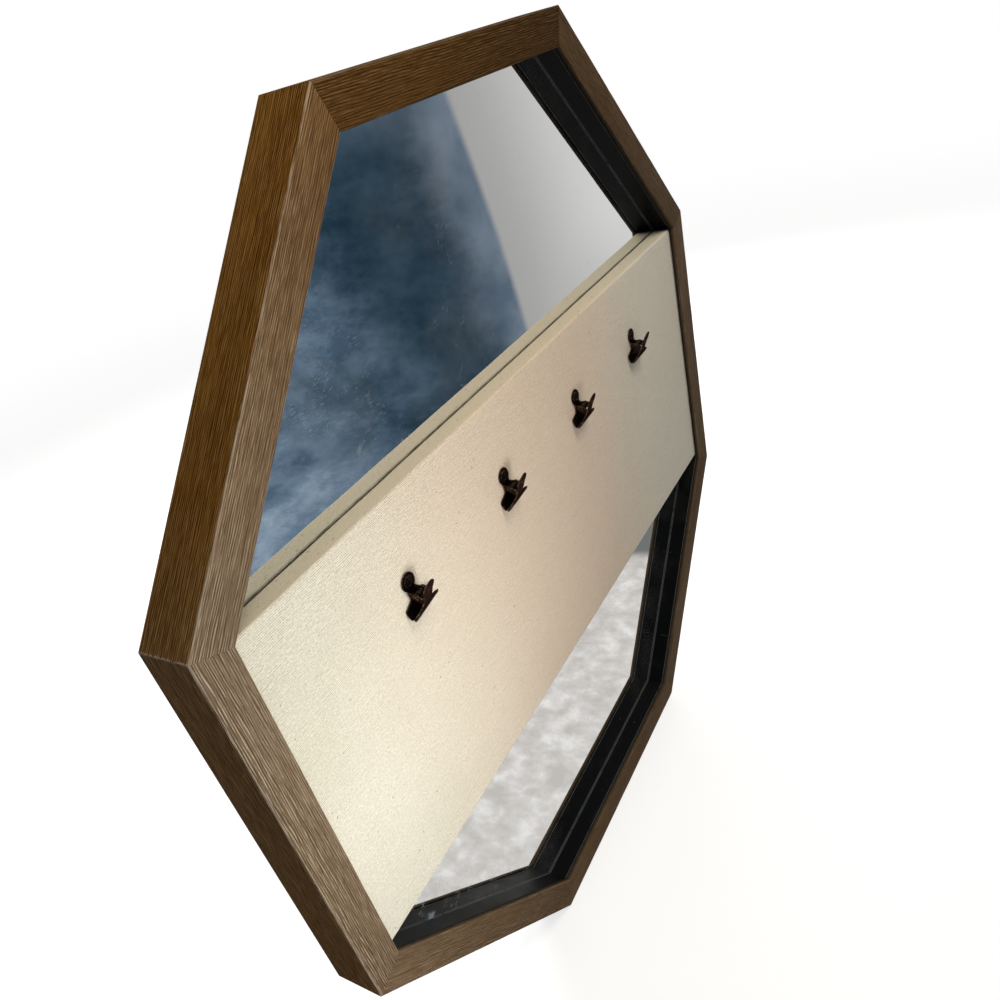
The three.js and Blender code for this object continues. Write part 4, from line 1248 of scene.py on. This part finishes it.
# %% Turn one brad and set the four
BRAD_RADIUS, BRAD_HEAD, BRAD_LENGTH = 0.0007, 0.0016, 0.011
work = bmesh.new()
shank = [(0.0, -BRAD_LENGTH), (BRAD_RADIUS, -BRAD_LENGTH + 2 * BRAD_RADIUS), (BRAD_RADIUS, 0.0)]
head = [(BRAD_HEAD * math.cos(a), 0.0003 + 0.0005 * math.sin(a)) for a in (0.0, 0.35, 0.7, 1.05, 1.35)]
profile = shank + [(BRAD_HEAD * 0.97, 0.0)] + head + [(0.0, 0.0008)]
add_lathe(work, profile, (0, 0, 0), (0, -1, 0), 20)
for vertex in work.verts:
    if vertex.co.y < -0.0002:
        vertex.co.y += 0.00008 * noise.noise(vertex.co * 1900.0)
one_brad = finished(work, "one_brad")
smooth_by_angle(one_brad.data, 40)
seat = Matrix.Translation((0.0, -2 * CONTACT - SHEET, 0.0))
points = mesh_object("brad_points", [(clip @ seat).translation for clip in clip_places], [])
brads = through_tree(points, brad_tree, {"Brad": one_brad, "Seed": 7, "Finish": bronze}, "brads")
bpy.data.objects.remove(one_brad)
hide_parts(*[f"clip_{number}_brad" for number in range(1, 5)])
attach(brads, "frame")
print("brads:", len(brads.data.vertices), "points")

# %% [markdown]
# ## The back
#
# Behind the glass lie a pressed fibreboard panel and zinc plated hardware: corner nails, retainers, and a
# sawtooth hanger. They keep their CAD solids. The two felt bumpers are soft, so they are made again here
# with a rounded edge and a fibrous surface.

# %% Fibreboard and felt
board, g, shader = new_material("fibreboard")
place = g.place()
fibres = g.streaks(place, (420.0, 420.0, 420.0), 4.0, 0.7)
patches = g.between(g.noise(place, 14.0, 3.0), 0.3, 0.7)
color = g.ramp(fibres, [(0.30, (0.155, 0.092, 0.048)), (0.52, (0.26, 0.165, 0.092)), (0.72, (0.36, 0.25, 0.15))])
color = g.coats(color, [
    (patches, 0.35, (0.20, 0.125, 0.07)),
    (g.winding(place, 170.0, 2.0, 2.2, 0.020, 0.004), 0.35, (0.46, 0.33, 0.20)),
    (specks(g, place, 120.0, 0.14, 0.30), 0.60, (0.070, 0.038, 0.018)),
])
g.fill(shader, {"Base Color": color, "Roughness": 0.85, "Normal": g.bump(fibres, 0.00012, 0.7)})

felt, g, shader = new_material("grey_felt")
hairs = g.streaks(g.place(), (1600.0, 1600.0, 900.0), 4.0, 0.75)
g.fill(shader, {
    "Base Color": g.ramp(hairs, [(0.3, (0.030, 0.030, 0.033)), (0.7, (0.105, 0.105, 0.112))]),
    "Roughness": 0.95,
    "Sheen Weight": 0.3,
    "Normal": g.bump(hairs, 0.00025),
})

# %% Dress the back
FELT_ROUNDING = 0.0007
for name in ("backing_panel", "board_core"):
    dress(name, board)
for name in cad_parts:
    if name.startswith(("corner_nail_", "retainer_", "sawtooth_", "hanger_nail_")):
        dress(name, zinc)
for side in ("left", "right"):
    low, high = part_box("wall_bumper_" + side)
    centre = Vector(((low[0] + high[0]) / 2, 0.0, (low[2] + high[2]) / 2))
    radius, depth = (high[0] - low[0]) / 2, high[1] - low[1]
    rim = arc_points((radius - FELT_ROUNDING, depth - FELT_ROUNDING), FELT_ROUNDING, 0, 90, 5)
    profile = [(0.0, 0.0), (radius * 0.5, 0.0), (radius, 0.0), (radius, depth * 0.4)]
    profile += rim + [(radius * 0.5, depth), (0.0, depth)]
    work = bmesh.new()
    add_lathe(work, profile, centre + Vector((0, -depth, 0)), (0, 1, 0), 48)
    pad = finished(work, "felt_bumper_" + side)
    smooth_by_angle(pad.data, 50)
    pad.data.materials.append(felt)
    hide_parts("wall_bumper_" + side)
    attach(pad, "frame")
print("back dressed")
